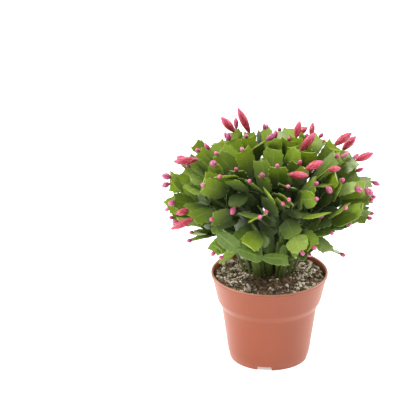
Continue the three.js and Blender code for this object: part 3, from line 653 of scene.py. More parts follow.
def drawEndsToSites(stems):
    ends = [end for stem in stems for end in stem["ends"]]
    for site in budSites + bareSites:
        point = frontOfCrown(site)
        free = [end for end in ends if end["site"] is None]
        end = min(free, key=lambda one: np.linalg.norm(one["point"] - point))
        end.update(point=point, site=site, heading=outOfCrown(point), across=tangentOf(point))
        if site["angle"] is None:
            continue
        isBud = site["length"] is not None
        pointed = viewDirection(site["angle"], site["lean"] if isBud else sitePull["bareLean"])
        end["heading"] = unit(end["heading"] + pointed * sitePull["bud" if isBud else "bare"])
        if not isBud:
            end["across"] = np.cross(end["heading"], fromView(0, 0, 1))
            end["isFacing"] = True


def courseOf(job):
    parent, ends = job["parent"], job["ends"]
    if parent:
        side = job["side"] * forkSpread[parent["forks"]] * parent["width"]
        start, before = pointOn(parent, side, jointSize["end"]), endHeading(parent)
    else:
        start, before = job["stem"]["foot"] + upward * feet["above"], upward
    toEnds = np.linalg.norm(start - sum(end["point"] for end in ends) / len(ends))
    steps = max(1, nearest(toEnds / jointSize["step"]))
    isLast = steps == 1
    backFromEnd = 0 if isLast else -jointSize["step"]
    towards = sum(end["point"] + end["heading"] * backFromEnd for end in ends) / len(ends) - start
    share = np.linalg.norm(towards) / max(1, steps - 1)
    length = clamp(share * jointSize["slack"], jointSize["shortest"], jointSize["longest"])
    heading = unit(towards) + before * (bearing["endOnward"] if isLast else bearing["onward"])
    if isLast:
        heading = heading + ends[0]["heading"] * bearing["endOut"]
    else:
        heading = heading + upward * (bearing["up"] * (steps - 1))
    return start, steps, isLast, length, unit(heading)


def growPad(job, grown):
    stem, parent, side, ends = job["stem"], job["parent"], job["side"], job["ends"]
    level, key = job["level"], job["key"]
    start, steps, isLast, length, heading = courseOf(job)
    isFacing = isLast and ends[0]["isFacing"]
    across = ends[0]["across"] if isLast else stem["across"]
    if parent:
        if np.dot(across, parent["x"]) < 0:
            across = -across
        across = unit(across + parent["x"] * (twistKept["facing"] if isFacing else twistKept["usual"]))
    aside = unit(np.cross(heading, across))
    endReach = rollReach["facing"] if isFacing else rollReach["end"]
    turnReach = endReach if isLast else rollReach["foot"] if level == 0 else rollReach["middle"]
    fan = 0
    if parent and parent["forks"] > 1:
        fan = math.copysign(jointSize["fan"], swing(stem["index"], parent["key"], draw["fan"]))
        heading = unit(heading + parent["z"] * (-side * math.tan(fan) * jointSize["fanPitch"]))
    widths = jointSize["widths"]
    widthSwing = jointSize["widthSwing"] * swing(stem["index"], key, draw["width"])
    width = widths[min(level, len(widths) - 1)] * (1 + widthSwing)
    if isLast and (ends[0]["site"] or {}).get("trail") is not None:
        width *= hangingWidth
    for attempt in range(retry["count"]):
        reach = math.tan((retry["reach"] + retry["reachStep"] * attempt) * degree)
        luck = {
            kind: swing(stem["index"], key, attempt, draw[kind])
            for kind in ("across", "aside", "roll", "sag")
        }
        pad = makePad(
            heading + across * (reach * luck["across"]) + aside * (reach * luck["aside"]),
            across,
            fan + turnReach * (1 + retry["rollStep"] * attempt) * luck["roll"],
            start=start,
            length=length * (1 - retry["shorten"] * attempt),
            width=width * (1 - retry["narrow"] * attempt),
            sag=jointSize["sag"] * (jointSize["sagMiddle"] + luck["sag"]),
            kind="leaf" if isLast or level >= jointSize["leafLevel"] else "stem" if level > 0 else "strap",
            parent=parent,
            stem=stem["index"],
            footHeight=stem["foot"][2],
            level=level,
            key=key,
        )
        if not followsParent(pad) or not isClearOfPot(pad):
            continue
        if crownShare(pointOn(pad, 0, 1)) > crown["overshoot"]:
            continue
        beside = padsNear(pad["middle"], pad["size"] + clearance["other"] + 1, grown)
        if any(padsClash(pad, other) for other in beside):
            continue
        near = [
            other for other in grown["buds"]
            if np.linalg.norm(pad["middle"] - other["middle"]) <= pad["size"] + other["length"]
        ]
        if any(budMeetsPad(other, pad) for other in near):
            continue
        site = ends[0]["site"] if isLast else None
        if site is None or site["length"] is None:
            return pad
        wanted = viewDirection(site["angle"], site["lean"])
        flower = growBud(pad, wanted, site["length"], site["width"], budGrowth["gap"], grown)
        if flower:
            grown["buds"].append(flower)
            return pad
    return None


def splitEnds(ends, steps, pad):
    count = min(1 if steps > forkSteps else 2 if steps == forkSteps else 3, len(ends))
    inOrder = sorted(ends, key=lambda end: np.dot(end["point"] - pad["start"], pad["x"]))
    cuts = [nearest(i * len(ends) / count) for i in range(count + 1)]
    return [inOrder[cuts[i]:cuts[i + 1]] for i in range(count)]


def trailingJob(job, pad, heading, trail):
    # one more joint after an end
    end = {
        "point": pointOn(pad, 0, jointSize["end"]) + heading * jointSize["step"], "heading": heading,
        "across": unit(np.cross(heading, fromView(*hangingFace))), "site": {"length": None, "trail": trail},
        "isFacing": True,
    }
    return {
        "stem": job["stem"], "parent": pad, "side": 0, "ends": [end], "level": job["level"] + 1,
        "key": job["key"] * keyStep,
    }


def growCrown(stems):
    grown = {"pads": [], "buds": [], "middles": np.empty((0, 3)), "sizes": np.empty(0)}
    first = {"parent": None, "side": 0, "level": 0, "key": 1}
    jobs = [dict(first, stem=stem, ends=stem["ends"]) for stem in stems]
    while jobs:
        sited = next((i for i, job in enumerate(jobs) if any(end["site"] for end in job["ends"])), 0)
        job = jobs.pop(sited)
        pad = growPad(job, grown)
        if not pad:
            continue
        keepPad(pad, grown)
        job["stem"]["pads"].append(pad)
        if job["parent"]:
            job["parent"]["children"].append(pad)
        start, steps, isLast, length, heading = courseOf(job)
        if isLast:
            pad["end"] = job["ends"][0]
            trail = (pad["end"]["site"] or {}).get("trail")
            if trail:
                jobs.append(trailingJob(job, pad, unit(fromView(*trail[0])), trail[1:]))
            continue
        groups = splitEnds(job["ends"], steps, pad)
        pad["forks"] = len(groups)
        for i, ends in enumerate(groups):
            side = 0 if len(groups) == 1 else 2 * i / (len(groups) - 1) - 1
            jobs.append({
                "stem": job["stem"], "parent": pad, "side": side, "ends": ends,
                "level": job["level"] + 1, "key": job["key"] * keyStep + i,
            })
    return grown


def budMeetsPad(flower, pad):
    return any(
        areInside(centre[None], pad, clearance["bud"] + share * flower["width"] / 2)[0]
        for centre, (along, share) in zip(flower["centres"], budProfile)
    )


def budsMeet(a, b):
    least = (a["width"] + b["width"]) / 2 + clearance["budSide"]
    apart = np.linalg.norm(a["centres"][:, None] - b["centres"][None], axis=2)
    return bool((apart < least).any())


def meetsHorns(flower, pad):
    for side in (-1, 1):
        horn = pointOn(pad, side * jointSize["hornAcross"] * pad["width"], jointSize["hornAlong"])
        for centre, (along, share) in zip(flower["centres"], budProfile):
            if np.linalg.norm(centre - horn) < share * flower["width"] / 2 + clearance["budSide"]:
                return True
    return False


def growBud(pad, wanted, length, width, gap, grown):
    onward = endHeading(pad)
    for attempt in range(budGrowth["tries"]):
        reach = budGrowth["reach"] + attempt * budGrowth["reachStep"]
        stray = np.array([swing(pad["stem"], pad["key"], attempt, axis) for axis in draw["stray"]])
        heading = unit(wanted + stray * reach + onward * (attempt * budGrowth["onwardStep"]))
        cosine = np.dot(heading, onward)
        standOff = gap + budGrowth["neck"] * math.sqrt(1 - min(1, cosine * cosine)) if gap > 0 else 0
        start = pointOn(pad, 0, jointSize["end"]) + onward * standOff
        centres = np.array([start + heading * (along * length) for along, share in budProfile])
        flower = {
            "start": start, "heading": heading, "length": length, "width": width, "centres": centres,
            "middle": centres[2], "pad": pad,
        }
        if cosine < budGrowth["leastOnward"] or meetsHorns(flower, pad):
            continue
        near = padsNear(flower["middle"], length, grown)
        if any(budMeetsPad(flower, other) for other in near if other is not pad):
            continue
        if not any(budsMeet(flower, other) for other in grown["buds"]):
            return flower
    return None


def growSmallBuds(grown):
    everything = dict(grown, buds=list(grown["buds"]))
    small = []
    for pad in grown["pads"]:
        isBearer = not pad["children"] and pad["kind"] == "leaf" and pad["middle"][2] > smallBud["lowest"]
        hasSite = pad["end"] is not None and pad["end"]["site"] is not None
        bears, size = chancesOf(pad, "bearing")
        if not isBearer or hasSite or bears > smallBud["share"]:
            continue
        length = smallBud["shortest"] + (smallBud["longest"] - smallBud["shortest"]) * size**2
        flower = growBud(pad, endHeading(pad), length, smallBud["width"], 0, everything)
        if flower:
            everything["buds"].append(flower)
            small.append(flower)
    return small


# Stem joints. A blank is modelled flat, once, with the grid's rows set to the outline's half widths and
# places, and its copies are bent to the joints.

parking = 10  # how far along a new grid waits, past the places that its rows are set to
blankSize = {
    "width": 0.020, "length": 0.030, "columns": 4, "rows": 12, "near": 0.01, "rowReach": 0.06, "tooth": 0.8,
}
blankThickness = {"middle": 1, "half": 0.64, "edge": 0.34, "neck": 0.62}

# Half outlines from the neck to the end: share of half the width, share of the length, and how far the edge
# leans forward there. Every third row from the fifth is a tooth, with a notch behind it.
blankOutlines = {
    "strap": [
        (0.74, -0.26, 0), (0.74, -0.1, 0), (0.78, 0.02, 0), (0.84, 0.14, 0), (0.92, 0.26, 0.01),
        (0.9, 0.34, 0), (0.94, 0.44, 0), (1, 0.54, 0.01), (0.9, 0.62, 0), (0.88, 0.7, 0), (0.9, 0.79, 0.01),
        (0.78, 0.86, 0), (0.6, 0.955, 0),
    ],
    "stem": [
        (0.26, -0.01, 0), (0.42, 0.06, 0), (0.7, 0.15, 0), (0.88, 0.25, 0), (1, 0.35, 0.02), (0.93, 0.4, 0),
        (0.98, 0.48, 0), (1.02, 0.58, 0.02), (0.92, 0.63, 0), (0.93, 0.72, 0), (0.94, 0.82, 0.02),
        (0.78, 0.87, 0), (0.5, 0.955, 0),
    ],
    "branch": [
        (0.2, -0.01, 0), (0.36, 0.05, 0), (0.66, 0.13, 0), (0.87, 0.22, 0), (1, 0.32, 0.03), (0.9, 0.37, 0),
        (0.98, 0.46, 0), (1.04, 0.56, 0.03), (0.9, 0.61, 0), (0.96, 0.71, 0), (0.98, 0.82, 0.03),
        (0.78, 0.88, 0), (0.52, 0.96, 0.01),
    ],
    "broadBranch": [
        (0.2, -0.01, 0), (0.4, 0.04, 0), (0.74, 0.11, 0), (0.95, 0.21, 0), (1.04, 0.33, 0.02),
        (0.95, 0.38, 0), (1, 0.47, 0), (1, 0.57, 0.02), (0.88, 0.62, 0), (0.92, 0.71, 0),
        (0.92, 0.82, 0.03), (0.74, 0.88, 0), (0.5, 0.96, 0.02),
    ],
    "horned": [
        (0.19, -0.01, 0), (0.34, 0.05, 0), (0.62, 0.14, 0), (0.83, 0.24, 0), (0.98, 0.35, 0.03),
        (0.88, 0.39, 0), (0.97, 0.48, 0), (1.05, 0.59, 0.035), (0.91, 0.63, 0), (0.97, 0.72, 0),
        (1.03, 0.83, 0.035), (0.88, 0.87, 0), (0.8, 0.975, 0.055),
    ],
    "square": [
        (0.2, -0.01, 0), (0.4, 0.04, 0), (0.72, 0.12, 0), (0.9, 0.22, 0), (1, 0.34, 0.02), (0.93, 0.38, 0),
        (0.97, 0.48, 0), (1.02, 0.6, 0.025), (0.94, 0.64, 0), (0.98, 0.73, 0), (1.02, 0.84, 0.03),
        (0.94, 0.88, 0), (0.9, 0.975, 0.045),
    ],
    "oval": [
        (0.19, -0.01, 0), (0.42, 0.04, 0), (0.77, 0.12, 0), (0.96, 0.22, 0), (1.04, 0.34, 0.02),
        (0.99, 0.39, 0), (1.02, 0.48, 0), (1, 0.58, 0.02), (0.93, 0.62, 0), (0.9, 0.71, 0),
        (0.84, 0.81, 0.025), (0.7, 0.87, 0), (0.52, 0.965, 0.04),
    ],
    "narrow": [
        (0.2, -0.01, 0), (0.32, 0.06, 0), (0.56, 0.15, 0), (0.76, 0.26, 0), (0.92, 0.37, 0.03),
        (0.82, 0.42, 0), (0.9, 0.5, 0), (1, 0.61, 0.035), (0.86, 0.65, 0), (0.92, 0.74, 0),
        (0.98, 0.84, 0.035), (0.82, 0.88, 0), (0.72, 0.97, 0.055),
    ],
}
# The two half outlines of each blank, left and right.
blankKinds = {
    "strap": [("strap", "strap")],
    "stem": [("stem", "stem"), ("stem", "branch")],
    "branch": [("branch", "branch"), ("broadBranch", "branch"), ("broadBranch", "broadBranch")],
    "leaf": [
        ("horned", "horned"), ("square", "square"), ("horned", "square"), ("oval", "oval"),
        ("narrow", "horned"), ("oval", "square"), ("narrow", "narrow"),
    ],
}


def newGrid(name, columns, rows, layer):
    # a flat grid 2 wide and 2 long, open for editing, and where its rows stand
    grid = newPiece(
        bpy.ops.mesh.primitive_grid_add, name, x_subdivisions=columns, y_subdivisions=rows, size=2
    )
    grid.data.uv_layers[0].name = layer
    editStart(grid)
    selectAll()
    bpy.ops.transform.translate(value=(0, parking, 0))
    return grid, [parking - 1 + 2 * row / rows for row in range(rows + 1)]


def modelBlank(name, left, right):
    blank, heights = newGrid(name, blankSize["columns"], blankSize["rows"], "leaf")
    half, length, near = blankSize["width"] / 2, blankSize["length"], blankSize["near"]
    for row, height in enumerate(heights):
        along = (left[row][1] + right[row][1]) / 2 * length
        for side, outline in ((-1, left), (1, right)):
            wide, own, lean = outline[row]
            pickPoints(blank, lambda at: abs(at.y - height) < near and at.x * side > near)
            bpy.ops.transform.resize(value=(wide * half, 1, 1), center_override=(0, height, 0))
            tooth = wide * half * blankSize["tooth"]
            pickPoints(blank, lambda at: abs(at.y - height) < near and at.x * side > tooth)
            bpy.ops.transform.translate(value=(0, lean * length, 0))
        pickPoints(blank, lambda at: abs(at.y - height) < blankSize["rowReach"])
        bpy.ops.transform.translate(value=(0, along - height, 0))
    editEnd()
    thickenBlank(blank)
    return blank


def thickenBlank(blank):
    # thick along the midrib, thin at the edges and at the neck
    group = blank.vertex_groups.new(name="thick")
    shares = [blankThickness["middle"], blankThickness["half"], blankThickness["edge"]]
    perRow = blankSize["columns"] + 1
    for point in blank.data.vertices:
        column = abs(point.index % perRow - blankSize["columns"] // 2)
        share = shares[column]
        if point.index < perRow:
            share *= blankThickness["neck"]
        group.add([point.index], share, "REPLACE")
    applyModifier(
        blank, "SOLIDIFY", thickness=mm, offset=0, vertex_group="thick", thickness_vertex_group=0,
        use_rim=True,
    )
    blank.vertex_groups.clear()


def modelBlanks():
    return {
        kind: [modelBlank(kind + "Blank", blankOutlines[left], blankOutlines[right]) for left, right in pairs]
        for kind, pairs in blankKinds.items()
    }


leafForm = {
    "thickness": {"strap": 3, "stem": 2.4, "branch": 2.1, "leaf": 1.9}, "cup": 0.9, "cupStart": 2,
    "wave": 0.35, "waves": 2.2, "phases": 6, "youngLevel": 5, "hangingAge": 0.86, "hangingTone": 0.5,
    "depthStart": 1.15, "smoothing": 50,
}


def kindOf(pad):
    if pad["kind"] == "leaf" and pad["children"]:
        return "branch"
    return pad["kind"]


def paintedShadeDepth(places):
    # how deep a point lies in the crown, for the painted shade there: 0 on the crown's surface and 1 in its
    # heart
    boxiness = np.where(places[:, 2] > crown["middle"], crown["boxinessOver"], crown["boxinessUnder"])
    across = np.hypot(places[:, 0], places[:, 1]) / crown["reach"]
    high = np.abs(places[:, 2] - crown["middle"]) / crown["rise"]
    return np.clip(leafForm["depthStart"] - across**boxiness - high**boxiness, 0, 1)


def leafOn(pad, blanks, name):
    kind = kindOf(pad)
    choices = blanks[kind]
    pick, turn, cup, phase, tone, gloss = chancesOf(pad, "leaf")
    leaf = copyOf(choices[int(pick * len(choices))], name)
    side = 1 if turn > 0.5 else -1  # turned over, face down
    places = placesOf(leaf)
    across = side * places[:, 0] / (blankSize["width"] / 2)
    along = places[:, 1] / blankSize["length"]
    above = side * places[:, 2] / mm * leafForm["thickness"][kind]
    bend = leafForm["cup"] * (2 * cup - 1) * across**2 * np.clip(leafForm["cupStart"] * along, 0, 1)
    wave = np.sin(leafForm["waves"] * math.tau * along + phase * leafForm["phases"])
    bend = bend + leafForm["wave"] * wave * across**3
    level = (above + bend - pad["sag"] * along**2)[:, None]
    placed = (
        pad["start"] + pad["x"] * (across * pad["width"] / 2)[:, None]
        + pad["y"] * (along * pad["length"])[:, None] + pad["z"] * level
    )
    setPlaces(leaf, placed * mm)
    age = 1 if kind == "strap" else clamp(1 - pad["level"] / leafForm["youngLevel"], 0, 1)
    if pad["end"] is not None and (pad["end"]["site"] or {}).get("trail") is not None:
        age, tone = leafForm["hangingAge"], leafForm["hangingTone"]
    paintLayer(leaf, "growth", age, tone)
    # the crown layer holds each point's depth for the painted shade, and the joint's gloss
    paintLayer(leaf, "crown", paintedShadeDepth(placed), gloss)
    return leaf


# deep is the colour of the painted shade, mixed into leaves that lie deep in the crown
leafLook = {
    "young": colour(132, 156, 30), "old": colour(84, 111, 40), "wood": colour(98, 108, 64),
    "shade": colour(54, 73, 28), "deep": colour(64, 78, 48), "rib": colour(136, 160, 76),
    "tip": colour(150, 92, 62), "woodShare": 0.55, "ribShare": 0.5, "veinShare": 0.16, "edgeShare": 0.4,
    "tipShare": 0.7, "deepShare": 0.85, "patches": 160, "pores": 1500, "roughness": 0.34, "coat": 0.8,
    "leastCoat": 0.03, "coatRoughness": 0.28, "seeThrough": 0.1, "seeThroughDepth": 0.002,
    "seeThroughTint": (0.6, 1.0, 0.2), "bump": 0.35, "bumpDepth": 0.0012,
}
# How far a joint's age, its own tone, the patches on it and its foot change its colour, height and gloss.
leafBlend = {
    "ageToOld": 0.7, "toneToOld": 0.6, "lessOld": 0.12, "patchShade": 0.7, "patchFrom": 0.35,
    "footShade": 0.3, "ribHeight": 0.5, "veinHeight": 0.2, "patchHeight": 0.6, "poreHeight": 0.08,
    "patchRoughness": 0.16, "ageRoughness": 0.12,
}
# Where a joint's marks begin and end: across from the midrib to the edge, along from the neck to the end,
# and by its age or its depth in the crown, which sets the painted shade, all from 0 to 1.
leafBands = {
    "wood": (0.85, 1), "rib": (0.02, 0.12), "ribEnd": (0.7, 1), "vein": (0.02, 0.09),
    "veinStart": (0.05, 0.2), "veinEnd": (0.8, 1), "edge": (0.93, 1), "tip": (0.9, 1), "tipAge": (0.2, 0.5),
    "depth": (0.25, 0.95),
}
toothRows = {"first": 4, "apart": 3, "slant": 1.4}


def leafFinish():
    look, blend, bands = leafLook, leafBlend, leafBands
    finish, tree, shader = newFinish(
        "waxyLeaf", IOR=1.4, Subsurface_Weight=look["seeThrough"], Subsurface_Scale=look["seeThroughDepth"],
        Subsurface_Radius=look["seeThroughTint"], Coat_Roughness=look["coatRoughness"],
    )
    place = objectPlace(tree)
    leaf, growth, inCrown = uvPlace(tree, "leaf"), uvPlace(tree, "growth"), uvPlace(tree, "crown")
    age, tone = growth.part("X"), growth.part("Y")
    across, along = abs(leaf.part("X") * 2 - 1), leaf.part("Y")
    patches, pores = noise(tree, place, look["patches"]), noise(tree, place, look["pores"], detail=2)
    old = age * blend["ageToOld"] + tone * blend["toneToOld"] - blend["lessOld"]
    base = mixed(old.smoothFrom(0, 1), look["young"], look["old"])
    # random darker patches, and painted shade towards each joint's foot, where it sits in the end of the
    # joint below
    shade = (patches - blend["patchFrom"]) * blend["patchShade"] + (1 - along) * blend["footShade"]
    base = mixed(shade, base, look["shade"])
    base = mixed(age.smoothFrom(*bands["wood"]) * look["woodShare"], base, look["wood"])
    rib = (1 - across.smoothFrom(*bands["rib"])) * (1 - along.smoothFrom(*bands["ribEnd"]))
    # faint veins slant from the midrib to the teeth
    rowsOn = along * blankSize["rows"] - toothRows["first"]
    step = (rowsOn + (1 - across) * toothRows["slant"]) / toothRows["apart"]
    vein = 1 - abs(step - step.math("ROUND", step)).smoothFrom(*bands["vein"])
    vein = vein * across.smoothFrom(*bands["veinStart"]) * (1 - across.smoothFrom(*bands["veinEnd"]))
    base = mixed(rib * look["ribShare"] + vein * look["veinShare"], base, look["rib"])
    # the edges are mixed towards the pale rib colour: partly the joint's own paler margin, partly painted
    # highlight where back light catches the rim
    edge = across.smoothFrom(*bands["edge"])
    tip = edge * along.smoothFrom(*bands["tip"]) * (1 - age.smoothFrom(*bands["tipAge"]))
    base = mixed(edge * look["edgeShare"], base, look["rib"])
    base = mixed(tip * look["tipShare"], base, look["tip"])
    # painted shade: leaves deep in the crown are mixed towards the dark deep colour, where shade falls
    # between the joints
    depth = inCrown.part("X").smoothFrom(*bands["depth"])
    base = mixed(depth * look["deepShare"], base, look["deep"])
    height = rib * blend["ribHeight"] + vein * blend["veinHeight"]
    height = height + patches * blend["patchHeight"] + pores * blend["poreHeight"]
    connect(
        tree, shader, Base_Color=base,
        Roughness=look["roughness"] + patches * blend["patchRoughness"] + age * blend["ageRoughness"],
        Coat_Weight=inCrown.part("Y") ** 3 * look["coat"] * (1 - age) + look["leastCoat"],
        Normal=bumped(tree, height, look["bump"], look["bumpDepth"]),
    )
    return finish


def makeStems(stems, blanks):
    finish = leafFinish()
    for stem in stems:
        number = stem["index"] + 1
        leaves = [leafOn(pad, blanks, f"leaf{number}") for pad in stem["pads"]]
        piece = joined(leaves, f"leafyStem{number:02d}")
        smooth(piece, leafForm["smoothing"])
        finishPiece(piece, finish, [f"stem_{number:02d}"])


# Buds. A bud blank stands on the origin and points along Y. Its body is a ring drawn out station by
# station, and its petals are flat blanks wrapped round the body.

budSize = {
    "length": 0.025, "width": 0.0082, "sides": 10, "smallSides": 8, "largeFrom": 13, "steep": 0.9,
    "smoothing": 60,
}
budStations = [
    (-0.05, 0.17), (0.0, 0.24), (0.05, 0.46), (0.12, 0.56), (0.2, 0.66), (0.34, 0.84), (0.5, 0.92),
    (0.66, 0.84), (0.8, 0.6), (0.92, 0.3), (1, 0.03),
]
petalOutline = [(0.5, 0), (0.86, 0.22), (1, 0.46), (0.84, 0.7), (0.46, 0.88), (0.04, 1)]
# Whorls from the foot to the tip: where petals start and end along the bud, half their width as an angle,
# how far their middle and their tip stand off the body, as shares of half the bud's width, and the whorl's
# turn.
budWhorls = {
    "closed": [
        (0.03, 0.3, 46, 0.03, 0.07, 0), (0.1, 0.52, 44, 0.05, 0.05, 45), (0.22, 0.8, 46, 0.07, 0.03, 10),
        (0.42, 1, 50, 0.06, 0.0, 55),
    ],
    "loose": [
        (0.03, 0.32, 44, 0.03, 0.12, 15), (0.12, 0.6, 42, 0.05, 0.16, 60), (0.28, 0.86, 44, 0.07, 0.1, 20),
        (0.45, 1, 48, 0.06, 0.02, 65),
    ],
    "plump": [
        (0.03, 0.38, 50, 0.04, 0.06, 30), (0.16, 0.66, 48, 0.07, 0.04, 75), (0.36, 0.98, 52, 0.07, 0.0, 30),
    ],
}
petalSize = {"inWhorl": 4, "columns": 4, "rows": 5, "thickness": 0.0003, "curl": 0.6, "rise": 5}


def modelPetal():
    # a flat petal 2 wide and 1 long, which its copies take as shares
    petal, heights = newGrid("petalBlank", petalSize["columns"], petalSize["rows"], "bud")
    for height, (wide, along) in zip(heights, petalOutline):
        pickPoints(petal, lambda at: abs(at.y - height) < blankSize["near"])
        bpy.ops.transform.resize(value=(wide, 1, 1), center_override=(0, height, 0))
        bpy.ops.transform.translate(value=(0, along - height, 0))
    editEnd()
    return petal


def bodyRadius(along):
    alongs, radii = zip(*budStations)
    return np.interp(along, alongs, radii) * budSize["width"] / 2


def wrapPetal(petal, whorl, number):
    start, end, wide, middleStand, tipLift, turn = whorl
    made = copyOf(petal, "petal")
    places = placesOf(made)
    across, share = places[:, 0], places[:, 1]
    along = start + (end - start) * share
    middle = (turn + 360 * number / petalSize["inWhorl"]) * degree
    angle = middle + across * wide * degree
    curled = 1 - across**2 * petalSize["curl"]
    stand = middleStand * curled * np.clip(share * petalSize["rise"], 0, 1) + tipLift * share**3
    radius = bodyRadius(along) + stand * budSize["width"] / 2
    wrapped = [radius * np.cos(angle), along * budSize["length"], -radius * np.sin(angle)]
    setPlaces(made, np.stack(wrapped, axis=1))
    layer = made.data.uv_layers["bud"]
    uvs = np.empty(len(layer.data) * 2)
    layer.data.foreach_get("uv", uvs)
    uvs = uvs.reshape(-1, 2)
    uvs[:, 1] = start + (end - start) * uvs[:, 1]
    layer.data.foreach_set("uv", uvs.ravel())
    applyModifier(made, "SOLIDIFY", thickness=petalSize["thickness"], offset=0)
    return made


def modelSpindle(name, stations, sides):
    # a ring drawn out and resized from station to station
    first, length = stations[0], budSize["length"]
    body = newPiece(
        bpy.ops.mesh.primitive_circle_add, name, vertices=sides, radius=first[1] * (budSize["width"] / 2),
        fill_type="NGON", rotation=(90 * degree, 0, 0),
    )
    settle(body)
    editStart(body)
    selectAll()
    bpy.ops.transform.translate(value=(0, first[0] * length, 0))
    for (before, radiusBefore), (along, radius) in zip(stations, stations[1:]):
        bpy.ops.mesh.extrude_region_move(TRANSFORM_OT_translate={"value": (0, (along - before) * length, 0)})
        growth = radius / radiusBefore
        bpy.ops.transform.resize(value=(growth, 1, growth), center_override=(0, along * length, 0))
    selectAll()
    bpy.ops.mesh.normals_make_consistent(inside=False)
    editEnd()
    layer = body.data.uv_layers[0]
    layer.name = "bud"
    for loop in body.data.loops:
        layer.data[loop.index].uv = (0.5, body.data.vertices[loop.vertex_index].co.y / length)
    return body


def modelBuds():
    petal = modelPetal()
    blanks = []
    for kind, whorls in budWhorls.items():
        parts = [modelSpindle(kind + "Body", budStations, budSize["sides"])]
        for whorl in whorls:
            parts += [wrapPetal(petal, whorl, number) for number in range(petalSize["inWhorl"])]
        blanks.append(joined(parts, kind + "Bud"))
    discard(petal)
    return blanks


def budOn(flower, blank, name, turn):
    # along the flower's heading, as long and as wide as it is
    made = copyOf(blank, name)
    places = placesOf(made)
    heading = flower["heading"]
    x = unit(np.cross([1.0, 0, 0] if abs(heading[2]) > budSize["steep"] else upward, heading))
    z = np.cross(x, heading)
    sideways, up = x * math.cos(turn) + z * math.sin(turn), z * math.cos(turn) - x * math.sin(turn)
    wide = flower["width"] / (budSize["width"] / mm)
    placed = (
        flower["start"] + sideways * (places[:, 0:1] / mm * wide)
        + heading * (places[:, 1:2] / budSize["length"] * flower["length"])
        + up * (places[:, 2:3] / mm * wide)
    )
    setPlaces(made, placed * mm)
    return made


smallBudStations = [
    (-0.06, 0.2), (0.04, 0.45), (0.25, 0.86), (0.5, 1), (0.72, 0.8), (0.88, 0.45), (1, 0.05),
]
budLook = {
    "large": {
        "foot": colour(170, 150, 92), "body": colour(200, 44, 68), "deep": colour(136, 16, 44),
        "streak": colour(244, 150, 170), "tip": colour(232, 116, 158),
    },
    "small": {
        "foot": colour(196, 140, 120), "body": colour(186, 62, 104), "deep": colour(112, 28, 72),
        "streak": colour(240, 176, 198), "tip": colour(214, 120, 160),
    },
    "deepShare": 0.3, "streakShare": 0.35, "edgeShare": 0.45, "tipShare": 0.7, "roughness": 0.42,
    "streaks": 26, "patches": 260, "coat": 0.3, "coatRoughness": 0.2, "seeThrough": 0.2, "bump": 0.3,
    "bumpDepth": 0.0006, "seeThroughDepth": 0.0015, "seeThroughTint": (1.0, 0.35, 0.35), "toneShift": 9,
    "toneDeep": 0.4, "relief": 0.5,
}
# Where a bud's marks begin and end, along it from foot to tip, across a petal or in its noise.
budBands = {
    "foot": (0.0, 0.12), "low": (0.1, 0.6), "patch": (0.4, 0.75), "edge": (0.55, 1), "streak": (0.5, 0.75),
    "tip": (0.6, 1),
}


def budFinish(name, look):
    bands = budBands
    finish, tree, shader = newFinish(
        name, IOR=1.45, Roughness=budLook["roughness"], Subsurface_Weight=budLook["seeThrough"],
        Subsurface_Scale=budLook["seeThroughDepth"], Subsurface_Radius=budLook["seeThroughTint"],
        Coat_Weight=budLook["coat"], Coat_Roughness=budLook["coatRoughness"],
    )
    place, bud, growth = objectPlace(tree), uvPlace(tree, "bud"), uvPlace(tree, "growth")
    across, along, tone = bud.part("X"), bud.part("Y"), growth.part("Y")
    patches = noise(tree, place, budLook["patches"])
    sideways = across * budLook["streaks"] + tone * budLook["toneShift"]
    lines = addNode(tree, "TexNoise", {"noise_dimensions": "1D"}, {"W": sideways})
    base = mixed(along.smoothFrom(*bands["foot"]), look["foot"], look["body"])
    low = 1 - along.smoothFrom(*bands["low"])
    deep = (patches.smoothFrom(*bands["patch"]) + low) * budLook["deepShare"] + tone * budLook["toneDeep"]
    base = mixed(deep, base, look["deep"])
    edge = abs(across * 2 - 1).smoothFrom(*bands["edge"]) * budLook["edgeShare"]
    base = mixed(lines.smoothFrom(*bands["streak"]) * budLook["streakShare"] + edge, base, look["streak"])
    base = mixed(along.smoothFrom(*bands["tip"]) * budLook["tipShare"], base, look["tip"])
    relief = bumped(tree, (lines + patches) * budLook["relief"], budLook["bump"], budLook["bumpDepth"])
    connect(tree, shader, Base_Color=base, Normal=relief)
    return finish


def makeBuds(grown):
    blanks = modelBuds()
    large, small = budFinish("silkyPetal", budLook["large"]), budFinish("closedPetal", budLook["small"])
    for number, flower in enumerate(grown["buds"]):
        pick, turn, tone = chancesOf(flower["pad"], "bud")
        isLarge = flower["length"] > budSize["largeFrom"]
        blank = blanks[int(pick * 2)] if isLarge else blanks[2]
        piece = budOn(flower, blank, f"bud{number + 1:02d}", turn * math.tau)
        paintLayer(piece, "growth", 0, tone)
        smooth(piece, budSize["smoothing"])
        finishPiece(piece, large if isLarge else small, [f"bud_{number + 1:02d}"])
    discard(*blanks)
    return small


def makeSmallBuds(flowers, finish):
    blank = modelSpindle("smallBudBlank", smallBudStations, budSize["smallSides"])
    copies = []
    for flower in flowers:
        turn, tone = chancesOf(flower["pad"], "smallBud")
        made = budOn(flower, blank, "smallBud", turn * math.tau)
        paintLayer(made, "growth", 0, tone)
        copies.append(made)
    piece = joined(copies, "smallBuds")
    smooth(piece, budSize["smoothing"])
    finishPiece(piece, finish)
    discard(blank)


# Pot. Its wall is drawn point by point as a closed profile, turned about the pot's axis, and cut for the
# foot notches and the drain holes.

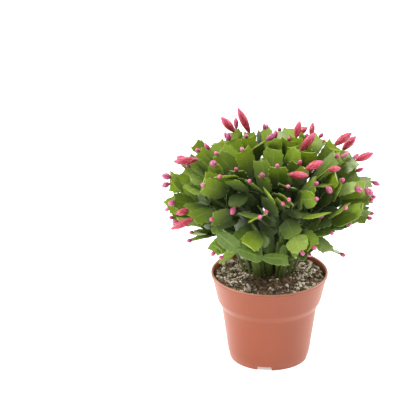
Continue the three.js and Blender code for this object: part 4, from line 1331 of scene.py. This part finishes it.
potSize = {
    "height": 94, "rimRadius": 60, "lipHeight": 3, "lipWidth": 2.4, "collarRadius": 59,
    "collarFootRadius": 53.2, "collarHeight": 29, "shoulderHeight": 7, "bodyTopRadius": 49,
    "bodyFootRadius": 42.2, "footRadius": 40, "footHeight": 9, "floorHeight": 4.5, "wall": 1.3,
    "ridge": 0.16, "ridgeInset": 0.5, "ridgeDrop": 3.4, "bandFlare": 0.1, "lipUnder": 0.3,
    "lipInside": 1, "ringSlope": 1, "floorCurve": 2, "sides": 96, "smoothing": 35,
}
potRounding = {
    "floor": 0.6, "ringInside": 0.5, "ring": 0.6, "heel": 6, "ridge": 0.2, "shoulder": 1.6, "collar": 0.6,
    "lipTop": 1.1, "lipInside": 0.8, "collarInside": 2.2, "bodyInside": 3, "heelInside": 4, "floorInside": 1,
    "mostOfSide": 0.45,
}
notchSize = {"count": 4, "topWidth": 14, "footWidth": 17, "height": 4.2, "depth": 9, "firstAngle": -97.5}
drainSize = {"count": 4, "radius": 3.2, "ringRadius": 24, "sides": 20}


def rounded(corners):
    # each corner is a radius, a height and how round it is, and becomes a short arc of points
    points = []
    for i, (radius, height, roundness) in enumerate(corners):
        here = np.array([radius, height], dtype=float)
        if roundness == 0 or i in (0, len(corners) - 1):
            points.append(here)
            continue
        before, after = np.array(corners[i - 1][:2]) - here, np.array(corners[i + 1][:2]) - here
        shorter = min(np.linalg.norm(before), np.linalg.norm(after))
        reach = min(roundness, shorter * potRounding["mostOfSide"])
        start, end = here + unit(before) * reach, here + unit(after) * reach
        for share in (0, 0.25, 0.5, 0.75, 1):
            points.append((1 - share) ** 2 * start + 2 * share * (1 - share) * here + share**2 * end)
    return points


def potProfile():
    p, turn, wall = potSize, potRounding, potSize["wall"]
    lipFoot = p["height"] - p["lipHeight"]
    shoulderTop = p["height"] - p["collarHeight"]
    shoulderFoot = shoulderTop - p["shoulderHeight"]
    ridgeTop = shoulderFoot - p["ridgeDrop"]
    underRidge = p["bodyTopRadius"] - p["ridgeInset"]
    return rounded([
        (0, p["floorHeight"], 0),
        (p["footRadius"] - wall - p["ringSlope"], p["floorHeight"], turn["floor"]),
        (p["footRadius"] - wall, 0, turn["ringInside"]),
        (p["footRadius"], 0, turn["ring"]),
        (p["bodyFootRadius"], p["footHeight"], turn["heel"]),
        (underRidge, ridgeTop - p["ridgeInset"], turn["ridge"]),
        (underRidge + p["ridge"], ridgeTop, turn["ridge"]),
        (p["bodyTopRadius"] + p["bandFlare"], shoulderFoot, turn["shoulder"]),
        (p["collarFootRadius"], shoulderTop, turn["shoulder"]),
        (p["collarRadius"], lipFoot, turn["collar"]),
        (p["rimRadius"], lipFoot + p["lipUnder"], turn["collar"]),
        (p["rimRadius"], p["height"], turn["lipTop"]),
        (p["rimRadius"] - p["lipWidth"], p["height"], turn["lipInside"]),
        (p["collarRadius"] - wall, lipFoot - p["lipInside"], turn["lipInside"]),
        (p["collarFootRadius"] - wall, shoulderTop, turn["collarInside"]),
        (p["bodyTopRadius"] - wall, shoulderFoot, turn["bodyInside"]),
        (p["bodyFootRadius"] - wall, p["footHeight"], turn["heelInside"]),
        (p["bodyFootRadius"] - wall - p["floorCurve"], p["floorHeight"] + wall, turn["floorInside"]),
        (0, p["floorHeight"] + wall, 0),
    ])


def turnedPiece(name, profile, sides):
    # one point, drawn out along the profile and spun round the upright axis
    piece = newPiece(bpy.ops.mesh.primitive_plane_add, name, size=mm)
    editStart(piece)
    selectAll()
    bpy.ops.mesh.merge(type="CENTER")
    here = profile[0]
    bpy.ops.transform.translate(value=(here[0] * mm, 0, here[1] * mm))
    for there in profile[1:]:
        step = (there - here) * mm
        bpy.ops.mesh.extrude_region_move(TRANSFORM_OT_translate={"value": (step[0], 0, step[1])})
        here = there
    selectAll()
    bpy.ops.mesh.spin(steps=sides, angle=math.tau, center=(0, 0, 0), axis=(0, 0, 1))
    selectAll()
    bpy.ops.mesh.remove_doubles(threshold=touching * mm)
    selectAll()
    bpy.ops.mesh.normals_make_consistent(inside=False)
    editEnd()
    return piece


def notchBlock(angle):
    # a block in the foot ring, narrower at its top
    size, out = notchSize, potSize["footRadius"] * mm
    block = newPiece(
        bpy.ops.mesh.primitive_cube_add, "notchBlock", size=1,
        scale=(size["depth"] * mm, size["footWidth"] * mm, 2 * size["height"] * mm),
    )
    settle(block)
    editStart(block)
    pickPoints(block, lambda at: at.z > 0)
    bpy.ops.transform.resize(value=(1, size["topWidth"] / size["footWidth"], 1), center_override=(0, 0, 0))
    editEnd()
    block.location = (out * math.cos(angle), out * math.sin(angle), 0)
    block.rotation_euler = (0, 0, angle)
    settle(block)
    return block


def drainPlug(angle):
    size, out = drainSize, drainSize["ringRadius"] * mm
    middle = (potSize["floorHeight"] + potSize["wall"] / 2) * mm
    plug = newPiece(
        bpy.ops.mesh.primitive_cylinder_add, "drainPlug", vertices=size["sides"],
        radius=size["radius"] * mm, depth=potSize["floorHeight"] * mm,
        location=(out * math.cos(angle), out * math.sin(angle), middle),
    )
    settle(plug)
    return plug


potLook = {
    "body": colour(143, 63, 26), "pale": colour(154, 74, 36), "paintedLipHighlight": colour(190, 136, 116),
    "inside": colour(112, 72, 54), "dust": colour(154, 88, 64), "paleShare": 0.5, "paintedLipHighlightShare": 0.8,
    "insideShadeShare": 0.8, "dustShare": 0.25, "cloud": 38, "grain": 900, "roughness": 0.4, "coat": 0.1,
    "coatRoughness": 0.35, "sheen": 0.14, "sheenRoughness": 0.4, "sheenTint": (1, 0.93, 0.78, 1),
    "paleFrom": 0.3, "cloudRoughness": 0.12, "grainRoughness": 0.06, "bump": 0.12, "bumpDepth": 0.0002,
}
# Where the painted highlight on the lip's top, the painted shade on the bare inner wall and the dusty foot
# begin and end, in metres over the floor.
potBands = {
    "paintedLipHighlight": (0.0928, 0.0936), "inside": (0.08, 0.084), "dust": (0.0, 0.012), "innerRadius": 0.0575,
    "innerTaper": 0.35, "innerEdge": (-0.0002, 0.0006),
}


def potFinish():
    look, bands = potLook, potBands
    finish, tree, shader = newFinish(
        "mouldedTerracottaPlastic", IOR=1.5, Coat_Roughness=look["coatRoughness"], Coat_Weight=look["coat"],
        Sheen_Weight=look["sheen"], Sheen_Roughness=look["sheenRoughness"], Sheen_Tint=look["sheenTint"],
    )
    place = objectPlace(tree)
    height = place.part("Z")
    cloud, grain = noise(tree, place, look["cloud"]), noise(tree, place, look["grain"], detail=2)
    out = (place.part("X") * place.part("X") + place.part("Y") * place.part("Y")) ** 0.5
    wall = bands["innerRadius"] - (potSize["height"] * mm - height) * bands["innerTaper"]
    base = mixed((cloud - look["paleFrom"]) * look["paleShare"], look["body"], look["pale"])
    # painted shade: the bare inner wall above the soil is mixed towards a darker brown, where the lip and the
    # crown shade it
    inside = (wall - out).smoothFrom(*bands["innerEdge"]) * height.smoothFrom(*bands["inside"])
    base = mixed(inside * look["insideShadeShare"], base, look["inside"])
    # painted highlight: the top of the lip is mixed towards a pale colour, where light from above falls on it
    base = mixed(height.smoothFrom(*bands["paintedLipHighlight"]) * look["paintedLipHighlightShare"], base, look["paintedLipHighlight"])
    foot = 1 - height.smoothFrom(*bands["dust"])
    base = mixed(foot * look["dustShare"], base, look["dust"])
    rough = look["roughness"] + cloud * look["cloudRoughness"] + grain * look["grainRoughness"]
    normal = bumped(tree, grain, look["bump"], look["bumpDepth"])
    connect(tree, shader, Base_Color=base, Roughness=rough, Normal=normal)
    return finish


def makePot():
    pot = turnedPiece("nurseryPot", potProfile(), potSize["sides"])
    first, notches, drains = notchSize["firstAngle"], notchSize["count"], drainSize["count"]
    cutters = [notchBlock((first + 360 * i / notches) * degree) for i in range(notches)]
    cutters += [drainPlug((first + 360 * (i + 0.5) / drains) * degree) for i in range(drains)]
    cutter = joined(cutters, "potCutters")
    applyModifier(pot, "BOOLEAN", operation="DIFFERENCE", solver="EXACT", object=cutter)
    discard(cutter)
    smooth(pot, potSize["smoothing"])
    finishPiece(pot, potFinish(), ["pot"])


# Soil: a turned bed whose top is raised and sunk, with crumbs, bark and pale grains scattered on it.

soilBed = {
    "gap": 0.35, "topGap": 0.2, "wallGap": 0.3, "floorGap": 3, "shoulderRise": 0.4, "footRise": 1,
    "topSteps": 30, "sides": 110, "coarse": 0.8, "coarseSize": 5.5, "fine": 0.5, "fineSize": 2.1, "edge": 4,
    "smoothing": 50,
}
scatters = {
    "peatCrumbs": {
        "finish": "peatCrumb", "light": colour(156, 128, 99), "dark": colour(50, 40, 32), "patches": 500,
        "count": 1100, "small": 1.0, "large": 3.4, "flat": (1.3, 1, 0.8), "rough": 0.34, "finer": False,
        "heaped": False,
    },
    "paleGrains": {
        "finish": "paleGrain", "light": colour(255, 247, 232), "dark": colour(166, 140, 112), "patches": 600,
        "count": 640, "small": 0.8, "large": 3.5, "flat": (1.15, 1, 0.8), "rough": 0.26, "finer": True,
        "heaped": True,
    },
    "barkChips": {
        "finish": "barkChip", "light": colour(148, 110, 76), "dark": colour(80, 58, 42), "patches": 500,
        "count": 150, "small": 1.4, "large": 4.2, "flat": (1.9, 0.9, 0.4), "rough": 0.25, "finer": False,
        "heaped": False,
    },
}
scatterRule = {
    "seed": 7, "blanks": 4, "margin": 1.5, "sizePower": 1.6, "tip": 0.35, "lift": 0.12, "smoothing": 60,
    "bareHalf": 16, "heapGrowth": 16, "leastHeap": 0.15, "patchSize": 8, "patchMiddle": 0.6,
    "leastPatch": 0.05,
}
lumpSeeds = {"coarse": 1, "fine": 2, "patches": 3}


def insideRadius(height):
    # the pot's inner wall at a height over the floor
    p = potSize
    shoulderTop = p["height"] - p["collarHeight"]
    heights = [p["footHeight"], shoulderTop - p["shoulderHeight"], shoulderTop, p["height"]]
    radii = [p["bodyFootRadius"], p["bodyTopRadius"], p["collarFootRadius"], p["collarRadius"]]
    return np.interp(height, heights, radii) - p["wall"]


stirWaves = {"x": 127.1, "y": 311.7, "seed": 74.7, "height": 43758.5453}


def lumps(x, y, size, seed):
    # smooth seeded hills and hollows about size millimetres wide, from -1 to 1
    gridX, gridY = x / size, y / size
    left, low = np.floor(gridX), np.floor(gridY)
    shareX, shareY = gridX - left, gridY - low
    shareX, shareY = shareX * shareX * (3 - 2 * shareX), shareY * shareY * (3 - 2 * shareY)

    def corner(a, b):
        phase = (left + a) * stirWaves["x"] + (low + b) * stirWaves["y"] + seed * stirWaves["seed"]
        value = np.sin(phase) * stirWaves["height"]
        return 2 * (value - np.floor(value)) - 1

    lower = corner(0, 0) * (1 - shareX) + corner(1, 0) * shareX
    upper = corner(0, 1) * (1 - shareX) + corner(1, 1) * shareX
    return lower * (1 - shareY) + upper * shareY


def makeSoilBed():
    bed = soilBed
    level = potSize["height"] - soilTop["depthBelowRim"]
    topRadius = insideRadius(level) - bed["gap"] - bed["topGap"]
    shoulderTop = potSize["height"] - potSize["collarHeight"]
    shoulderFoot = shoulderTop - potSize["shoulderHeight"]
    floor = potSize["floorHeight"] + potSize["wall"] + bed["gap"]
    profile = [(topRadius * i / bed["topSteps"], level) for i in range(bed["topSteps"] + 1)]
    footRadius = insideRadius(potSize["footHeight"]) - bed["gap"]
    profile += [
        (insideRadius(shoulderTop) - bed["gap"], shoulderTop + bed["shoulderRise"]),
        (insideRadius(shoulderFoot) - bed["gap"] - bed["wallGap"], shoulderFoot),
        (footRadius - bed["wallGap"], potSize["footHeight"] + bed["footRise"]),
        (footRadius - bed["floorGap"], floor),
        (0, floor),
    ]
    piece = turnedPiece("pottingSoil", [np.array(point) for point in profile], bed["sides"])
    places = placesOf(piece) / mm
    isTop = places[:, 2] > level - touching
    x, y = places[isTop, 0], places[isTop, 1]
    raised = np.array([soilHeight(*place) for place in zip(x, y)])
    edge = np.clip((topRadius - np.hypot(x, y)) / bed["edge"], 0, 1)
    for kind in ("coarse", "fine"):
        raised += edge * bed[kind] * lumps(x, y, bed[kind + "Size"], lumpSeeds[kind])
    places[isTop, 2] = raised
    setPlaces(piece, places * mm)
    smooth(piece, bed["smoothing"])
    finishPiece(piece, soilFinish(), ["soil"])
    return topRadius


soilLook = {
    "peat": colour(100, 80, 61), "damp": colour(52, 42, 33), "fibre": colour(146, 120, 92),
    "fibreShare": 0.6, "speckShare": 0.5, "coarse": 260, "fine": 1400, "specks": 520, "roughness": 0.82,
    "fineRoughness": 0.15, "fineHeight": 0.4, "speckHeight": 0.5, "bump": 0.8, "bumpDepth": 0.0014,
}
# Where damp gives way to dry, where fibres show and where a speck fades, in the noise that draws each.
soilBands = {"dry": (0.3, 0.7), "fibre": (0.55, 0.8), "speck": (0.1, 0.28)}
grainLook = {
    "patchBand": (0.3, 0.75), "patchShare": 0.3, "toneShare": 0.7, "roughness": 0.7, "patchRoughness": 0.2,
    "bump": 0.5, "bumpDepth": 0.0005,
}


def soilFinish():
    look, bands = soilLook, soilBands
    finish, tree, shader = newFinish("dampPeat", IOR=1.4)
    place = objectPlace(tree)
    coarse = noise(tree, place, look["coarse"], detail=5, roughness=0.65)
    fine = noise(tree, place, look["fine"], detail=3, roughness=0.6)
    specks = addNode(tree, "TexVoronoi", {"feature": "F1"}, {"Vector": place, "Scale": look["specks"]})
    base = mixed(coarse.smoothFrom(*bands["dry"]), look["damp"], look["peat"])
    base = mixed(fine.smoothFrom(*bands["fibre"]) * look["fibreShare"], base, look["fibre"])
    light = 1 - specks.smoothFrom(*bands["speck"])
    base = mixed(light * look["speckShare"], base, look["fibre"])
    height = coarse + fine * look["fineHeight"] - specks * look["speckHeight"]
    connect(
        tree, shader, Base_Color=base, Roughness=look["roughness"] + fine * look["fineRoughness"],
        Normal=bumped(tree, height, look["bump"], look["bumpDepth"]),
    )
    return finish


def grainFinish(settings):
    look = grainLook
    finish, tree, shader = newFinish(settings["finish"], IOR=1.4)
    patches = noise(tree, objectPlace(tree), settings["patches"], detail=4)
    tone = uvPlace(tree, "growth").part("Y")
    darkness = patches.smoothFrom(*look["patchBand"]) * look["patchShare"] + tone * look["toneShare"]
    connect(
        tree, shader, Base_Color=mixed(darkness, settings["light"], settings["dark"]),
        Roughness=look["roughness"] + patches * look["patchRoughness"],
        Normal=bumped(tree, patches, look["bump"], look["bumpDepth"]),
    )
    return finish


def modelGrains(name, settings, dice):
    # blanks, flattened and knocked out of round
    blanks = []
    for number in range(scatterRule["blanks"]):
        blank = newPiece(
            bpy.ops.mesh.primitive_ico_sphere_add, name + "Blank",
            subdivisions=2 if settings["finer"] else 1, radius=mm,
        )
        editStart(blank)
        selectAll()
        bpy.ops.transform.resize(value=settings["flat"], center_override=(0, 0, 0))
        editEnd()
        places = placesOf(blank)
        setPlaces(blank, places * (1 + settings["rough"] * dice.uniform(-1, 1, (len(places), 1))))
        blanks.append(blank)
    return blanks


def scatter(name, settings, topRadius, dice):
    rule, blanks, copies = scatterRule, modelGrains(name, settings, dice), []
    while len(copies) < settings["count"]:
        radius = (topRadius - rule["margin"]) * math.sqrt(dice.uniform())
        angle = dice.uniform(0, math.tau)
        x, y = radius * math.cos(angle), radius * math.sin(angle)
        # pale grains lie thick to the left and right of the stems and in patches
        heap = np.clip((abs(x) - rule["bareHalf"]) / rule["heapGrowth"], rule["leastHeap"], 1)
        patch = rule["patchMiddle"] + lumps(x, y, rule["patchSize"], lumpSeeds["patches"])
        if settings["heaped"] and dice.uniform() > heap * np.clip(patch, rule["leastPatch"], 1):
            continue
        extra = dice.uniform() ** rule["sizePower"]
        size = settings["small"] + (settings["large"] - settings["small"]) * extra
        made = copyOf(blanks[len(copies) % len(blanks)], name)
        turn, tip = dice.uniform(0, math.tau), dice.normal(0, rule["tip"], 2)
        turned = placesOf(made) / mm * size / 2
        cosine, sine = math.cos(turn), math.sin(turn)
        east = turned[:, 0] * cosine - turned[:, 1] * sine
        north = turned[:, 0] * sine + turned[:, 1] * cosine
        high = turned[:, 2] + east * tip[0] + north * tip[1]
        hill = soilBed["coarse"] * lumps(x, y, soilBed["coarseSize"], lumpSeeds["coarse"])
        base = soilHeight(x, y) + hill * min(1, (topRadius - radius) / soilBed["edge"])
        lifted = base + high + rule["lift"] * size
        setPlaces(made, np.stack([x + east, y + north, lifted], axis=1) * mm)
        paintLayer(made, "growth", 0, dice.uniform())
        copies.append(made)
    piece = joined(copies, name)
    discard(*blanks)
    return piece


def makeSoil():
    topRadius = makeSoilBed()
    dice = np.random.default_rng(scatterRule["seed"])
    for name, settings in scatters.items():
        piece = scatter(name, settings, topRadius, dice)
        if settings["finer"]:
            smooth(piece, scatterRule["smoothing"])
        finishPiece(piece, grainFinish(settings))


# The whole plant

stems = plannedStems()
drawEndsToSites(stems)
grown = growCrown(stems)
smallFlowers = growSmallBuds(grown)
print(
    "grown", len(grown["pads"]), "joints,", len(grown["buds"]), "buds and", len(smallFlowers), "small buds",
)

blanks = modelBlanks()
makeStems(stems, blanks)
discard(*[blank for kind in blanks.values() for blank in kind])
print("stems made")

smallFinish = makeBuds(grown)
makeSmallBuds(smallFlowers, smallFinish)
print("buds made")

makePot()
print("pot made")

makeSoil()
print("soil made")
